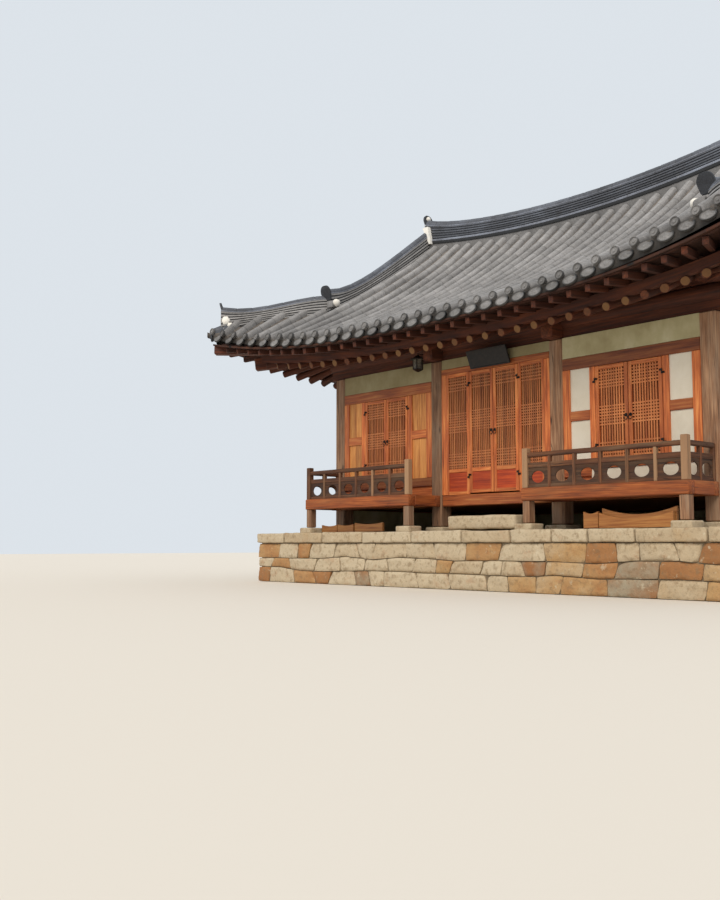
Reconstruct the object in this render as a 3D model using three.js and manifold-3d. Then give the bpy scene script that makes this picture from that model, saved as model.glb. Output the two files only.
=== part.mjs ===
// A three-bay Korean timber house (hanok) with a hip-and-gable tiled roof on a stone platform.
// Millimetres, +Z up, the front faces -Y, the origin lies on the ground under the middle of the plan.
import * as THREE from "three";
import { mergeVertices } from "three/addons/utils/BufferGeometryUtils.js";
import Module from "manifold-3d";

const wasm = await Module();
wasm.setup();

// Driving dimensions

const GAP = 0.3; // clearance that touching pieces keep
const SLACK = 0.05; // how far a face may move when needless points are taken out
const BAY = 2400; // column spacing along the front
const HALF_X = 1.5 * BAY; // column line of the left and right sides
const HALF_Y = BAY; // column line of the front and the back
const COLUMN = 230; // square column
const HALF_COLUMN = COLUMN / 2;
const CLEAR = BAY - COLUMN; // width between two columns

const PLATFORM_TOP = 860;
const PLATFORM_MARGIN = 1100; // from the column line to the platform's edge
const CAPSTONE = 190; // height of the top course
const CAPSTONE_LIP = 25;
const BASE_STONE = { half: 190, height: 70 };
const POST_STONE = { half: 150, height: 80 };
const STEP = { length: 1300, depth: 420, height: 215, fromFace: 330, offset: 370 };

const DECK_BOTTOM = 1250;
const FLOOR_TOP = 1425;
const FLOOR_THICK = 135;
const SILL = { bottom: 1590, top: 1730 }; // sill rail under the side bays' doors
const MID_RAIL = { bottom: 2380, top: 2520 };
const SIDE_LINTEL = { bottom: 3120, top: 3290 };
const CENTRE_LINTEL = { bottom: 3350, top: 3445 };
const WALL_TOP = 3600; // underside of the wall plates

const WALL_FACE = HALF_Y + 95; // outer face of the walls, measured from the middle
const WALL_THICK = 100;
const FRAME_FACE = WALL_FACE + 10;
const FRAME_THICK = 100;
const PANEL_THICK = 40;
const PANEL_SET_BACK = 25;

const DOOR = { half: 530, thick: 40, gap: 6, meet: 10, stile: 55, recess: 28 };
const REAR_LEAVES = 475; // half the width of the back door and of the side windows
const HINGE = { out: 14, radius: 8, arm: 42, knuckle: 35, inset: 230 }; // iron knuckles in pairs
const MULLION = 95; // post beside a pair of doors
const JAMB = 125;
const CENTRE_JAMB = 100;
const CENTRE_LEAF = (CLEAR - 2 * CENTRE_JAMB) / 4;
const THRESHOLD = 20;
const KICK_PANEL_TOP = 1775; // top of the solid panel at the foot of a centre door

const DECK_DEPTH = 730;
const DECK = { inner: 1115, outer: HALF_X + 90 };
const DECK_POST = 125;
const RAIL = { top: 1912, thick: 65, width: 70, post: 90, postTop: 1975, inset: 15 };
const RAIL_PANELS = 6;
const RETURN_PANELS = 2;
const RAIL_SLAT = { width: 60, thick: 22 };
const RAIL_PANEL_TOP = 1700;
const RAIL_MID = { bottom: 1700, top: 1770 };
const WIND_HOLE = { x: 110, z: 82, height: 1572 };

const PLATE = { width: 110, height: 150, round: 118, ends: 280 }; // bearer under a round purlin
const PURLIN_Z = WALL_TOP + PLATE.height + 105;
const CROSS_BEAM = { width: 210, height: 240, head: 330 };

// The eaves: each level is a line around the house that swings out and up towards the corners.
const RAFTER_END = { out: 945, corner: 1150, z: 3667, rise: 250 };
const FLYER_END = { out: 1315, corner: 1680, z: 3800, rise: 400 };
const TILE_END = { out: 1395, corner: 1800, z: 3980, rise: 500 };
const SWING_POWER = 2.4;
const RISE_POWER = 3;
const RAFTER_SLOPE = 0.403;
const RAFTER = { radius: 60, spacing: 300, sides: 6 };
// Height of a rafter's axis over the purlin that it lies on
const RAFTER_OVER = PURLIN_Z + (PLATE.round + RAFTER.radius + GAP) * Math.hypot(1, RAFTER_SLOPE);
const FLYER = { width: 75, height: 90, slope: 0.12 };
const FAN_FROM = 3000; // beyond this the rafters fan out to the corner
const FAN_SIDE_FROM = 1800;
const FAN_BACK = 600; // the fan's centre lies this far inside the corner column
const FAN_LEAN = 3600; // how gently the flying rafters turn towards the corner
const CORNER_BEAM = { width: 180, bottomIn: 3990, bottomOut: 3790, deep: 215 };
const CORNER_FLYER = { bottomOut: 4095, deep: 165 };
const BATTEN = { low: 64, high: 290, width: 80 }; // from the rafters' backs up to the boards
const INFILL = { foot: PURLIN_Z + PLATE.round + GAP, half: 55, frontTop: 4250, sideTop: 4170 - GAP, sideOut: 185 };

// The roof surface
const RIDGE_HALF = 150; // half width of the main ridge
const GABLE_EDGE = 3860; // end of the upper roof
const RIDGE_END = 3790; // half length of the main ridge
const APEX = 6200;
const RIDGE_RISE = 350; // how much the ridge's ends stand above its middle
const HOLLOW = 0.00006; // curve of the roof surface, per mm
const GABLE_HOLLOW = { value: 0.0000245, from: 2400 }; // the slopes straighten towards the gables
const HIP_SWELL = 200; // how far the hip line bulges over a straight one, times four
const HIP_CLIMB = { height: 100, power: 6 }; // its quick rise just inside the corner
const TILE_BED = 100; // thickness of tiles and bed at the eave
const BED_GROWTH = 0.12;
const BARGE = { thick: 50, drop: 400 };
const SKIRT_EDGE = GABLE_EDGE + BARGE.thick + 2; // upper end of the side slopes
const GABLE_WALL = { thick: 90, foot: 4170 };
const MAIN_RIDGE = { height: 500, tipLift: 75, wall: 115, foot: 230 };
const CORNER_RIDGE = { half: 100, height: 310, tipLift: 55, hipLess: 10, hipTipLift: 85, overrun: 20, short: 200 };
const END_TILE = { half: 95, rise: 140, foot: 150, thick: 36, lean: 18 };
const NAME_BOARD = { width: 790, height: 285, thick: 35, tilt: 0.4, z: 3500, out: 206 };

const COLOURS = {
  granite: 0xb9ad98,
  oldTimber: 0x7b6a5c,
  timber: 0x6a3420,
  pine: 0xb5622c,
  deck: 0xa4552a,
  plaster: 0xb4aa86,
  tile: 0x6d6c6e,
  black: 0x1a1613,
};

// Solids

function toSolid(geometry) {
  const bare = geometry.index ? geometry.toNonIndexed() : geometry.clone();
  bare.deleteAttribute("normal");
  bare.deleteAttribute("uv");
  const merged = mergeVertices(bare, 1e-3);
  return new wasm.Manifold(
    new wasm.Mesh({
      numProp: 3,
      vertProperties: merged.attributes.position.array,
      triVerts: new Uint32Array(merged.index.array),
    }),
  );
}

function toGeometry(solid) {
  const mesh = solid.getMesh();
  const geometry = new THREE.BufferGeometry();
  const positions = new Float32Array(mesh.vertProperties);
  geometry.setAttribute("position", new THREE.BufferAttribute(positions, 3));
  geometry.setIndex(new THREE.BufferAttribute(new Uint32Array(mesh.triVerts), 1));
  return geometry;
}

const join = (solids) => solids.reduce((all, one) => all.add(one));
const cut = (solid, tools) => tools.reduce((left, tool) => left.subtract(tool), solid);

function box(x0, x1, y0, y1, z0, z1) {
  const [wide, deep, high] = [Math.abs(x1 - x0), Math.abs(y1 - y0), Math.abs(z1 - z0)];
  const geometry = new THREE.BoxGeometry(wide, deep, high);
  geometry.translate((x0 + x1) / 2, (y0 + y1) / 2, (z0 + z1) / 2);
  return toSolid(geometry);
}

// A bar from one point to another: round where it has a radius, else width by height.
function bar(from, to, section) {
  const start = new THREE.Vector3(...from);
  const end = new THREE.Vector3(...to);
  const along = end.clone().sub(start);
  const length = along.length() + 2 * (section.extra || 0);
  along.normalize();
  const side = new THREE.Vector3(0, 0, 1).cross(along).normalize();
  const up = along.clone().cross(side);
  const geometry = section.radius
    ? new THREE.CylinderGeometry(section.radius, section.radius, length, section.sides)
    : new THREE.BoxGeometry(section.width, length, section.height);
  const middle = start.clone().add(end).multiplyScalar(0.5);
  geometry.applyMatrix4(new THREE.Matrix4().makeBasis(side, along, up.negate()).setPosition(middle));
  return toSolid(geometry);
}

// A closed solid between a top sheet and a bottom sheet, both grids of points of one size.
function layer(top, bottom) {
  const [rows, columns] = [top.length, top[0].length];
  const points = [...top.flat(), ...bottom.flat()];
  const at = (sheet, r, c) => sheet * rows * columns + r * columns + c;
  const faces = [];
  const quad = (a, b, c, d) => faces.push(a, b, c, a, c, d);
  for (let r = 0; r < rows - 1; r++) {
    for (let c = 0; c < columns - 1; c++) {
      quad(at(0, r, c), at(0, r, c + 1), at(0, r + 1, c + 1), at(0, r + 1, c));
      quad(at(1, r, c), at(1, r + 1, c), at(1, r + 1, c + 1), at(1, r, c + 1));
    }
  }
  for (let c = 0; c < columns - 1; c++) {
    quad(at(1, 0, c), at(1, 0, c + 1), at(0, 0, c + 1), at(0, 0, c));
    quad(at(0, rows - 1, c), at(0, rows - 1, c + 1), at(1, rows - 1, c + 1), at(1, rows - 1, c));
  }
  for (let r = 0; r < rows - 1; r++) {
    quad(at(0, r, 0), at(0, r + 1, 0), at(1, r + 1, 0), at(1, r, 0));
    quad(at(1, r, columns - 1), at(1, r + 1, columns - 1), at(0, r + 1, columns - 1), at(0, r, columns - 1));
  }
  const geometry = new THREE.BufferGeometry();
  geometry.setAttribute("position", new THREE.Float32BufferAttribute(points.flat(), 3));
  geometry.setIndex(faces);
  const solid = toSolid(geometry);
  if (solid.volume() < 0) throw new Error("a layer is inside out");
  return solid;
}

// An outline in one plane, extruded along X (outline in Y, Z) or along Y (outline in X, Z).
function extrude(outline, from, to, along, holes = []) {
  const shape = new THREE.Shape(outline.map(([u, v]) => new THREE.Vector2(u, v)));
  shape.holes.push(...holes);
  const geometry = new THREE.ExtrudeGeometry(shape, {
    depth: to - from,
    bevelEnabled: false,
    curveSegments: 4,
  });
  const axes = {
    x: [new THREE.Vector3(0, 1, 0), new THREE.Vector3(0, 0, 1), new THREE.Vector3(1, 0, 0)],
    y: [new THREE.Vector3(1, 0, 0), new THREE.Vector3(0, 0, 1), new THREE.Vector3(0, -1, 0)],
  }[along];
  geometry.applyMatrix4(new THREE.Matrix4().makeBasis(...axes));
  geometry.translate(along === "x" ? from : 0, along === "y" ? to : 0, 0);
  return toSolid(geometry);
}

// Curves of the roof

const steps = (from, to, count) =>
  Array.from({ length: count + 1 }, (_, i) => from + ((to - from) * i) / count);

// Point of an eave level on the front (half length along X) or a side (half length along Y).
function eave(level, halfAlong, halfAcross, along) {
  const share = Math.min(1, Math.abs(along) / (halfAlong + level.corner));
  return {
    out: halfAcross + level.out + (level.corner - level.out) * share ** SWING_POWER,
    z: level.z + level.rise * share ** RISE_POWER,
  };
}
const frontEave = (level, x) => eave(level, HALF_X, HALF_Y, x);
const sideEave = (level, y) => eave(level, HALF_Y, HALF_X, y);
const toDiagonal = HALF_X - HALF_Y; // the hips lie where |x| - |y| has this value

const ridgeBase = (x) => APEX + RIDGE_RISE * (x / GABLE_EDGE) ** 2;
const sagging = (low, high, at, run, hollow = HOLLOW) => low + ((high - low) * at) / run - hollow * at * (run - at);

function hollowAt(x) {
  const near = (Math.abs(x) - GABLE_HOLLOW.from) / (GABLE_EDGE - GABLE_HOLLOW.from);
  const share = Math.min(1, Math.max(0, near));
  return HOLLOW + (GABLE_HOLLOW.value - HOLLOW) * share * share * (3 - 2 * share);
}

// Height of the front slope at x, a distance in from the eave, where it runs up to the ridge.
function upperSlope(x, distance) {
  const edge = frontEave(TILE_END, x);
  return sagging(edge.z, ridgeBase(x), distance, edge.out, hollowAt(x));
}

const HIP_TOP_Y = GABLE_EDGE - toDiagonal;
const hipTop = upperSlope(GABLE_EDGE, frontEave(TILE_END, GABLE_EDGE).out - HIP_TOP_Y);
const hipCorner = HALF_X + TILE_END.corner;
function hipHeight(x) {
  const share = (hipCorner - x) / (hipCorner - GABLE_EDGE);
  const low = TILE_END.z + TILE_END.rise;
  const climb = 1 - (1 - share) ** HIP_CLIMB.power;
  return low + (hipTop - low) * share + HIP_SWELL * share * (1 - share) + HIP_CLIMB.height * (climb - share);
}

// Height of the tile surface on the front (and back) at x and a distance in from the eave.
function frontSurface(x, distance) {
  const edge = frontEave(TILE_END, x);
  if (Math.abs(x) <= GABLE_EDGE) return upperSlope(x, distance);
  const run = edge.out - (Math.abs(x) - toDiagonal);
  return sagging(edge.z, hipHeight(Math.abs(x)), distance, Math.max(run, 1), GABLE_HOLLOW.value);
}

const skirtMiddle = 4500; // height where the side slope's middle meets the gable
const SKIRT_CURVE = 2.5;
function skirtTop(y) {
  const share = Math.abs(y) / (SKIRT_EDGE - toDiagonal);
  return skirtMiddle + (hipHeight(SKIRT_EDGE) - skirtMiddle) * share ** SKIRT_CURVE;
}
function sideSurface(y, distance) {
  const edge = sideEave(TILE_END, y);
  const topX = Math.max(SKIRT_EDGE, Math.abs(y) + toDiagonal);
  const high = topX > SKIRT_EDGE ? hipHeight(topX) : skirtTop(y);
  return sagging(edge.z, high, distance, Math.max(edge.out - topX, 1));
}

const bedThickness = (distance) => TILE_BED + BED_GROWTH * distance;

// Underside of the boards over the rafters.
const BOARD_GAP = 14; // the boards rest on the battens, a little above the rafters
const BOARD_AT_PLATE = RAFTER_OVER + RAFTER.radius + BOARD_GAP;
const HIP_BOARD = 4235;
const SKIRT_BOARD = BOARD_AT_PLATE - 45;
const INNER_DROP = 260;
function boardUnderside(share, edgeZ, column, top) {
  if (share <= column.at) return edgeZ + ((column.z - edgeZ) * share) / column.at;
  return column.z + ((top - column.z) * (share - column.at)) / (1 - column.at);
}

// One slope of the roof as two layers: tiles with their bed, and the boards below them.
function slopeLayers(strip) {
  const sheets = { top: [], bed: [], boards: [], under: [] };
  for (const share of strip.rows) {
    const rowOf = { top: [], bed: [], boards: [], under: [] };
    for (const along of strip.columns) {
      const { outer, inner } = strip.span(along);
      const distance = (outer - inner) * share;
      const z = strip.height(along, distance);
      const bed = z - bedThickness(distance);
      const place = (height) => strip.place(along, outer - distance, height);
      rowOf.top.push(place(z));
      rowOf.bed.push(place(bed));
      rowOf.boards.push(place(bed - GAP));
      rowOf.under.push(place(Math.min(bed - 25, strip.under(along, share))));
    }
    for (const key of Object.keys(sheets)) sheets[key].push(rowOf[key]);
  }
  return {
    tiles: layer(sheets.top, sheets.bed),
    boards: layer(sheets.boards, sheets.under),
  };
}

const FRONT_ROWS = [0, 0.19, 0.38, 0.58, 0.78, 1];
const WING_ROWS = [0, 0.25, 0.5, 0.75, 1];
const columnShare = 0.38;

// The strips of half the front slope, x above 0: up to the gable, then the wing along the hip.
function frontStrips() {
  const edgeUnder = (x) => frontEave(FLYER_END, x).z + FLYER.height / 2 + BOARD_GAP;
  const place = (x, out, z) => [x, -out, z];
  const middle = {
    rows: FRONT_ROWS,
    columns: steps(0, GABLE_EDGE, 6),
    span: (x) => ({ outer: frontEave(TILE_END, x).out, inner: RIDGE_HALF + GAP }),
    height: frontSurface,
    place,
    under: (x, share) => {
      const lift = (HIP_BOARD - BOARD_AT_PLATE) * (x / GABLE_EDGE) ** RISE_POWER;
      const column = { at: columnShare, z: BOARD_AT_PLATE + lift };
      return boardUnderside(share, edgeUnder(x), column, ridgeBase(x) - INNER_DROP * 2);
    },
  };
  const wing = {
    rows: WING_ROWS,
    columns: steps(GABLE_EDGE, hipCorner - 6, 5),
    span: (x) => ({ outer: frontEave(TILE_END, x).out, inner: x - toDiagonal + GAP }),
    height: (x, distance) => frontSurface(Math.max(x, GABLE_EDGE + 0.01), distance),
    place,
    under: (x, share) => edgeUnder(x) + (HIP_BOARD - edgeUnder(x)) * share,
  };
  return [middle, wing];
}

// The strips of half a side slope, y below 0, in the same order.
function sideStrips() {
  const edgeUnder = (y) => sideEave(FLYER_END, y).z + FLYER.height / 2 + BOARD_GAP;
  const place = (y, out, z) => [out, y, z];
  const half = HALF_Y + TILE_END.corner;
  const flank = SKIRT_EDGE - toDiagonal;
  const middle = {
    rows: WING_ROWS,
    columns: steps(-flank, 0, 4),
    span: (y) => ({ outer: sideEave(TILE_END, y).out, inner: SKIRT_EDGE }),
    height: sideSurface,
    place,
    under: (y, share) => {
      const plate = SKIRT_BOARD + (HIP_BOARD - SKIRT_BOARD) * Math.abs(y / flank) ** RISE_POWER;
      return edgeUnder(y) + (plate - edgeUnder(y)) * share;
    },
  };
  const wing = {
    rows: WING_ROWS,
    columns: steps(-half + 6, -flank, 5),
    span: (y) => ({ outer: sideEave(TILE_END, y).out, inner: -y + toDiagonal + GAP }),
    height: (y, distance) => sideSurface(Math.min(y, -flank - 0.01), distance),
    place,
    under: (y, share) => edgeUnder(y) + (HIP_BOARD - edgeUnder(y)) * share,
  };
  return [middle, wing];
}

// Rafters

// Ends of the rafters along one eave: straight ones, then a fan to each corner.
function rafterLines(halfAlong, halfAcross, fanFrom, level) {
  const count = Math.floor(fanFrom / RAFTER.spacing);
  const lines = [];
  for (let i = -count; i <= count; i++) {
    lines.push({ along: i * RAFTER.spacing, fan: 0 });
  }
  const corner = halfAlong + level.corner;
  const fans = Math.round((corner - fanFrom) / RAFTER.spacing);
  for (let i = 1; i < fans; i++) {
    const along = fanFrom + ((corner - fanFrom) * i) / fans;
    lines.push({ along, fan: 1 }, { along: -along, fan: -1 });
  }
  return lines.map((line) => ({ ...line, end: eave(level, halfAlong, halfAcross, line.along) }));
}

// The timber under one slope, in local axes: along the eave, outwards, up.
// The rafters' inner ends meet in the infill on the purlin, the flying rafters' in the batten.
function eaveTimber(halfAlong, halfAcross, fanFrom, place) {
  const pieces = [];
  for (const line of rafterLines(halfAlong, halfAcross, fanFrom, RAFTER_END)) {
    const end = [line.along, line.end.out, line.end.z];
    const start = [line.along, halfAcross, RAFTER_OVER];
    if (line.fan) {
      const centre = line.fan * (halfAlong - FAN_BACK);
      const share = FAN_BACK / (line.end.out - halfAcross + FAN_BACK);
      start[0] = centre + (line.along - centre) * share;
      start[2] = RAFTER_OVER + (HIP_BOARD - BOARD_AT_PLATE) * (Math.abs(start[0]) / halfAlong) ** RISE_POWER;
    }
    pieces.push(bar(place(...start), place(...end), RAFTER));
  }
  for (const line of rafterLines(halfAlong, halfAcross, fanFrom, FLYER_END)) {
    const inward = line.end.out - eave(RAFTER_END, halfAlong, halfAcross, line.along).out + BATTEN.width / 2;
    const lean = line.fan ? (line.fan * inward * (Math.abs(line.along) - fanFrom)) / FAN_LEAN : 0;
    const end = [line.along, line.end.out, line.end.z];
    const start = [line.along - lean, line.end.out - inward, line.end.z + inward * FLYER.slope];
    pieces.push(bar(place(...start), place(...end), FLYER));
  }
  return pieces;
}

// A batten laid along an eave level, from corner to corner.
function eaveBatten(level, halfAlong, halfAcross, place, low, high, inward, reach) {
  const half = halfAlong + reach;
  const sheet = (height) =>
    [inward, inward + BATTEN.width].map((back) =>
      steps(-half, half, 12).map((along) => {
        const edge = eave(level, halfAlong, halfAcross, along);
        return place(along, edge.out - back, edge.z + height);
      }),
    );
  return [sheet(high), sheet(low)];
}

function orientedLayer(top, bottom) {
  try {
    return layer(top, bottom);
  } catch {
    return layer(
      top.map((row) => [...row].reverse()),
      bottom.map((row) => [...row].reverse()),
    );
  }
}

function slopeSolids(strips, mirror) {
  const made = strips.map(slopeLayers);
  const whole = (key) => {
    const half = join(made.map((one) => one[key]));
    return join([half, mirror(half)]);
  };
  return { tiles: whole("tiles"), boards: whole("boards") };
}

// A wedge of plan that keeps a slope's timber on its own side of the hips.
function wedge(alongHalf, acrossHalf, place, keepOff) {
  const far = 7000;
  const inner = 1500;
  const outline = (out) => out - acrossHalf + alongHalf - keepOff;
  const sheet = (z) =>
    [far, inner].map((out) => [-outline(out), outline(out)].map((along) => place(along, out, z)));
  return orientedLayer(sheet(6000), sheet(3000));
}

function cornerBeams(clear = 0) {
  const beams = [];
  const half = CORNER_BEAM.deep / 2;
  const section = (deep) => ({ width: CORNER_BEAM.width + 2 * clear, height: deep + 2 * clear, extra: clear });
  for (const sign of [-1, 1]) {
    const at = (out, z) => [HALF_X + out, sign * (HALF_Y + out), z];
    const lower = [at(-260, CORNER_BEAM.bottomIn + 30 + half), at(RAFTER_END.corner, CORNER_BEAM.bottomOut + half)];
    const upper = [
      at(300, CORNER_BEAM.bottomIn + 40 + half),
      at(FLYER_END.corner, CORNER_FLYER.bottomOut + CORNER_FLYER.deep / 2),
    ];
    beams.push(bar(...lower, section(CORNER_BEAM.deep)), bar(...upper, section(CORNER_FLYER.deep)));
  }
  return join(beams);
}

const mirrorX = (solid) => solid.mirror([1, 0, 0]);
const mirrorY = (solid) => solid.mirror([0, 1, 0]);

const front = slopeSolids(frontStrips(), mirrorX);
const side = slopeSolids(sideStrips(), mirrorY);
const tileShadow = (solid) => solid.translate([0, 0, -GAP]);

function frontEaves() {
  const place = (along, out, z) => [along, -out, z];
  const raw = join(eaveTimber(HALF_X, HALF_Y, FAN_FROM, place));
  const keep = wedge(HALF_X, HALF_Y, place, CORNER_BEAM.width * 0.75);
  const lower = eaveBatten(RAFTER_END, HALF_X, HALF_Y, place, BATTEN.low, BATTEN.high, 10, 1000);
  const half = HALF_X + PLATE.ends;
  const infill = box(-half, half, -HALF_Y - INFILL.half, -HALF_Y + INFILL.half, INFILL.foot, INFILL.frontTop);
  const timber = join([raw, infill, orientedLayer(...lower)]).intersect(keep);
  return cut(join([front.boards, timber]), [cornerBeams(2 * GAP), mirrorX(cornerBeams(2 * GAP))]);
}

function sideEaves() {
  const place = (along, out, z) => [out, along, z];
  const raw = join(eaveTimber(HALF_Y, HALF_X, FAN_SIDE_FROM, place));
  const keep = wedge(HALF_Y, HALF_X, place, CORNER_BEAM.width * 0.75);
  const lower = eaveBatten(RAFTER_END, HALF_Y, HALF_X, place, BATTEN.low, BATTEN.high, 10, 1000);
  const half = HALF_Y + PLATE.ends;
  const infill = box(HALF_X - INFILL.half, HALF_X + INFILL.sideOut, -half, half, INFILL.foot, INFILL.sideTop);
  const timber = join([raw, infill, orientedLayer(...lower)]).intersect(keep);
  return cut(join([side.boards, timber, cornerBeams()]), [tileShadow(side.tiles)]);
}

// Base

function platform() {
  const halfX = HALF_X + PLATFORM_MARGIN;
  const halfY = HALF_Y + PLATFORM_MARGIN;
  const pieces = [
    box(-halfX, halfX, -halfY, halfY, 0, PLATFORM_TOP - CAPSTONE),
    box(
      -halfX - CAPSTONE_LIP,
      halfX + CAPSTONE_LIP,
      -halfY - CAPSTONE_LIP,
      halfY + CAPSTONE_LIP,
      PLATFORM_TOP - CAPSTONE,
      PLATFORM_TOP,
    ),
  ];
  const stone = ([x, y], size) =>
    box(x - size.half, x + size.half, y - size.half, y + size.half, PLATFORM_TOP - 1, PLATFORM_TOP + size.height);
  columnPlaces().forEach((at) => pieces.push(stone(at, BASE_STONE)));
  deckPosts().forEach((at) => pieces.push(stone(at, POST_STONE)));
  return join(pieces);
}

const WALL_COLUMNS = { back: [[-0.5 * BAY, HALF_Y], [0.5 * BAY, HALF_Y]], side: [[HALF_X, 0]] };

function freeColumns() {
  const front = [-1.5, -0.5, 0.5, 1.5].map((bay, i) => ({ name: `front_column_${i + 1}`, at: [bay * BAY, -HALF_Y] }));
  return [
    ...front,
    { name: "back_left_column", at: [-HALF_X, HALF_Y] },
    { name: "back_right_column", at: [HALF_X, HALF_Y] },
  ];
}

function columnPlaces() {
  const side = WALL_COLUMNS.side.flatMap(([x, y]) => [[x, y], [-x, y]]);
  return [...freeColumns().map(({ at }) => at), ...WALL_COLUMNS.back, ...side];
}

function column([x, y]) {
  const foot = PLATFORM_TOP + BASE_STONE.height + GAP;
  return box(x - HALF_COLUMN, x + HALF_COLUMN, y - HALF_COLUMN, y + HALF_COLUMN, foot, WALL_TOP);
}

function deckPosts() {
  const y = -(WALL_FACE + DECK_DEPTH - DECK_POST / 2 - RAIL.inset);
  const inner = DECK.inner + DECK_POST / 2 + RAIL.inset;
  const outer = DECK.outer - DECK_POST / 2 - RAIL.inset;
  return [-outer, -inner, inner, outer].map((x) => [x, y]);
}

// Roof timber

function roofFrame() {
  const half = HALF_X + PLATE.ends;
  const wide = PLATE.width / 2;
  const round = { radius: PLATE.round, sides: 10 };
  const pieces = crossBeams();
  for (const sign of [-1, 1]) {
    const [x, y] = [sign * HALF_X, sign * HALF_Y];
    pieces.push(
      box(-half, half, y - wide, y + wide, WALL_TOP + GAP, PURLIN_Z),
      bar([-half, y, PURLIN_Z], [half, y, PURLIN_Z], round),
      box(x - wide, x + wide, -HALF_Y, HALF_Y, WALL_TOP + GAP, PURLIN_Z),
      bar([x, -HALF_Y, PURLIN_Z], [x, HALF_Y, PURLIN_Z], round),
    );
  }
  const corners = cornerBeams(GAP);
  return cut(join(pieces), [corners, mirrorX(corners)]);
}

function crossBeams() {
  return [-BAY / 2, BAY / 2].map((x) =>
    box(
      x - CROSS_BEAM.width / 2,
      x + CROSS_BEAM.width / 2,
      -HALF_Y - CROSS_BEAM.head,
      HALF_Y + CROSS_BEAM.head,
      WALL_TOP + GAP,
      WALL_TOP + CROSS_BEAM.height,
    ),
  );
}

// Walls and doors of the front

const bayCentre = (bay) => bay * BAY;

function sideBayFrame(bay) {
  const x = bayCentre(bay);
  const half = CLEAR / 2 - GAP;
  const [face, back] = [-FRAME_FACE, -FRAME_FACE + FRAME_THICK];
  const post = DOOR.half + MULLION;
  const bars = [
    box(x - half, x + half, face, back, SIDE_LINTEL.bottom, SIDE_LINTEL.top),
    box(x - half, x + half, face, back, SILL.bottom, SILL.top),
    box(x - half, x + half, face + 30, back, FLOOR_TOP - FLOOR_THICK, SILL.bottom),
  ];
  for (const sign of [-1, 1]) {
    bars.push(
      box(x + sign * DOOR.half, x + sign * post, face, back, SILL.bottom, SIDE_LINTEL.top),
      box(x + sign * (half - JAMB), x + sign * half, face, back, SILL.bottom, SIDE_LINTEL.top),
      box(x + sign * post, x + sign * half, face, back, MID_RAIL.bottom, MID_RAIL.top),
    );
  }
  const frame = cut(join(bars), [sideBayInfill(bay, GAP)]);
  return join([frame, ...sideBayDoors(bay).flatMap((leaf) => leaf.fixedKnuckles)]);
}

function sideBayInfill(bay, grow = 0) {
  const x = bayCentre(bay);
  const half = CLEAR / 2 - GAP;
  const post = DOOR.half + MULLION;
  const front = -FRAME_FACE + PANEL_SET_BACK;
  const groove = 12;
  const strip = box(
    x - half - grow,
    x + half + grow,
    -WALL_FACE - grow,
    -WALL_FACE + 60 + grow,
    SIDE_LINTEL.top + GAP - grow,
    WALL_TOP - GAP,
  );
  const panels = [-1, 1].map((sign) =>
    box(
      x + sign * (post - groove - grow),
      x + sign * (half - JAMB + groove + grow),
      front - grow,
      front + PANEL_THICK + grow,
      SILL.top - groove - grow,
      SIDE_LINTEL.top + 20,
    ),
  );
  return join([strip, ...panels]);
}

function centreFrame() {
  const half = CLEAR / 2 - GAP;
  const [face, back] = [-FRAME_FACE, -FRAME_FACE + FRAME_THICK];
  return join([
    box(-half, half, face, back, CENTRE_LINTEL.bottom, CENTRE_LINTEL.top),
    box(-half, half, face, back, DECK_BOTTOM, FLOOR_TOP),
    box(-half, -half + CENTRE_JAMB, face, back, FLOOR_TOP - 1, CENTRE_LINTEL.top),
    box(half - CENTRE_JAMB, half, face, back, FLOOR_TOP - 1, CENTRE_LINTEL.top),
    box(-half, half, -WALL_FACE, -WALL_FACE + 60, CENTRE_LINTEL.top - 1, WALL_TOP - GAP),
    ...fixedLeaves(),
    ...centreDoors().flatMap((leaf) => leaf.fixedKnuckles),
  ]);
}

// A door leaf between two x values: a frame with the lattice field, and a kick panel, sunk into it.
function doorLeaf(x0, x1, z0, z1, kickTop) {
  const front = -FRAME_FACE;
  const leaf = box(x0, x1, front, front + DOOR.thick, z0, z1);
  const fieldFoot = kickTop ? kickTop + DOOR.stile : z0 + DOOR.stile;
  const [left, right] = [x0 + DOOR.stile, x1 - DOOR.stile];
  const field = box(left, right, front - 1, front + DOOR.recess, fieldFoot, z1 - DOOR.stile);
  const kick = kickTop ? [box(left, right, front - 1, front + 10, z0 + DOOR.stile, kickTop)] : [];
  return cut(leaf, [field, ...kick]);
}

// Hinge knuckles on the line at x: the frame's reach away from the leaf, the leaf's stand on them.
function knuckles(x, z0, z1, towards, onLeaf) {
  const axisY = -FRAME_FACE - HINGE.out;
  const lift = onLeaf ? HINGE.knuckle + GAP : 0;
  const reach = onLeaf ? towards * HINGE.arm : -towards * HINGE.arm;
  return [z0 + HINGE.inset, z1 - HINGE.inset].flatMap((z) => {
    const [low, high] = [z + lift, z + lift + HINGE.knuckle];
    const barrel = new THREE.CylinderGeometry(HINGE.radius, HINGE.radius, HINGE.knuckle, 8);
    barrel.rotateX(Math.PI / 2);
    barrel.translate(x, axisY, (low + high) / 2);
    const plate = box(x + reach / 4, x + reach, -FRAME_FACE - 5, -FRAME_FACE + 1, low + 4, high - 4);
    const link = box(x, x + reach / 2, axisY - 3, -FRAME_FACE - 4, low + 4, high - 4);
    return [toSolid(barrel), plate, link];
  });
}

// A pair of leaves about x: each is its solid and the line it turns on.
function doorPair(x, half, low, high, kickTop) {
  return [-1, 1].map((sign) => {
    const hinge = x + sign * (half - DOOR.gap / 2);
    const ends = [x + sign * (half - DOOR.gap), x + (sign * DOOR.meet) / 2];
    const leaf = doorLeaf(Math.min(...ends), Math.max(...ends), low, high, kickTop);
    return {
      solid: join([leaf, ...knuckles(hinge, low, high, -sign, true)]),
      fixedKnuckles: knuckles(hinge, low, high, -sign, false),
    };
  });
}

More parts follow.
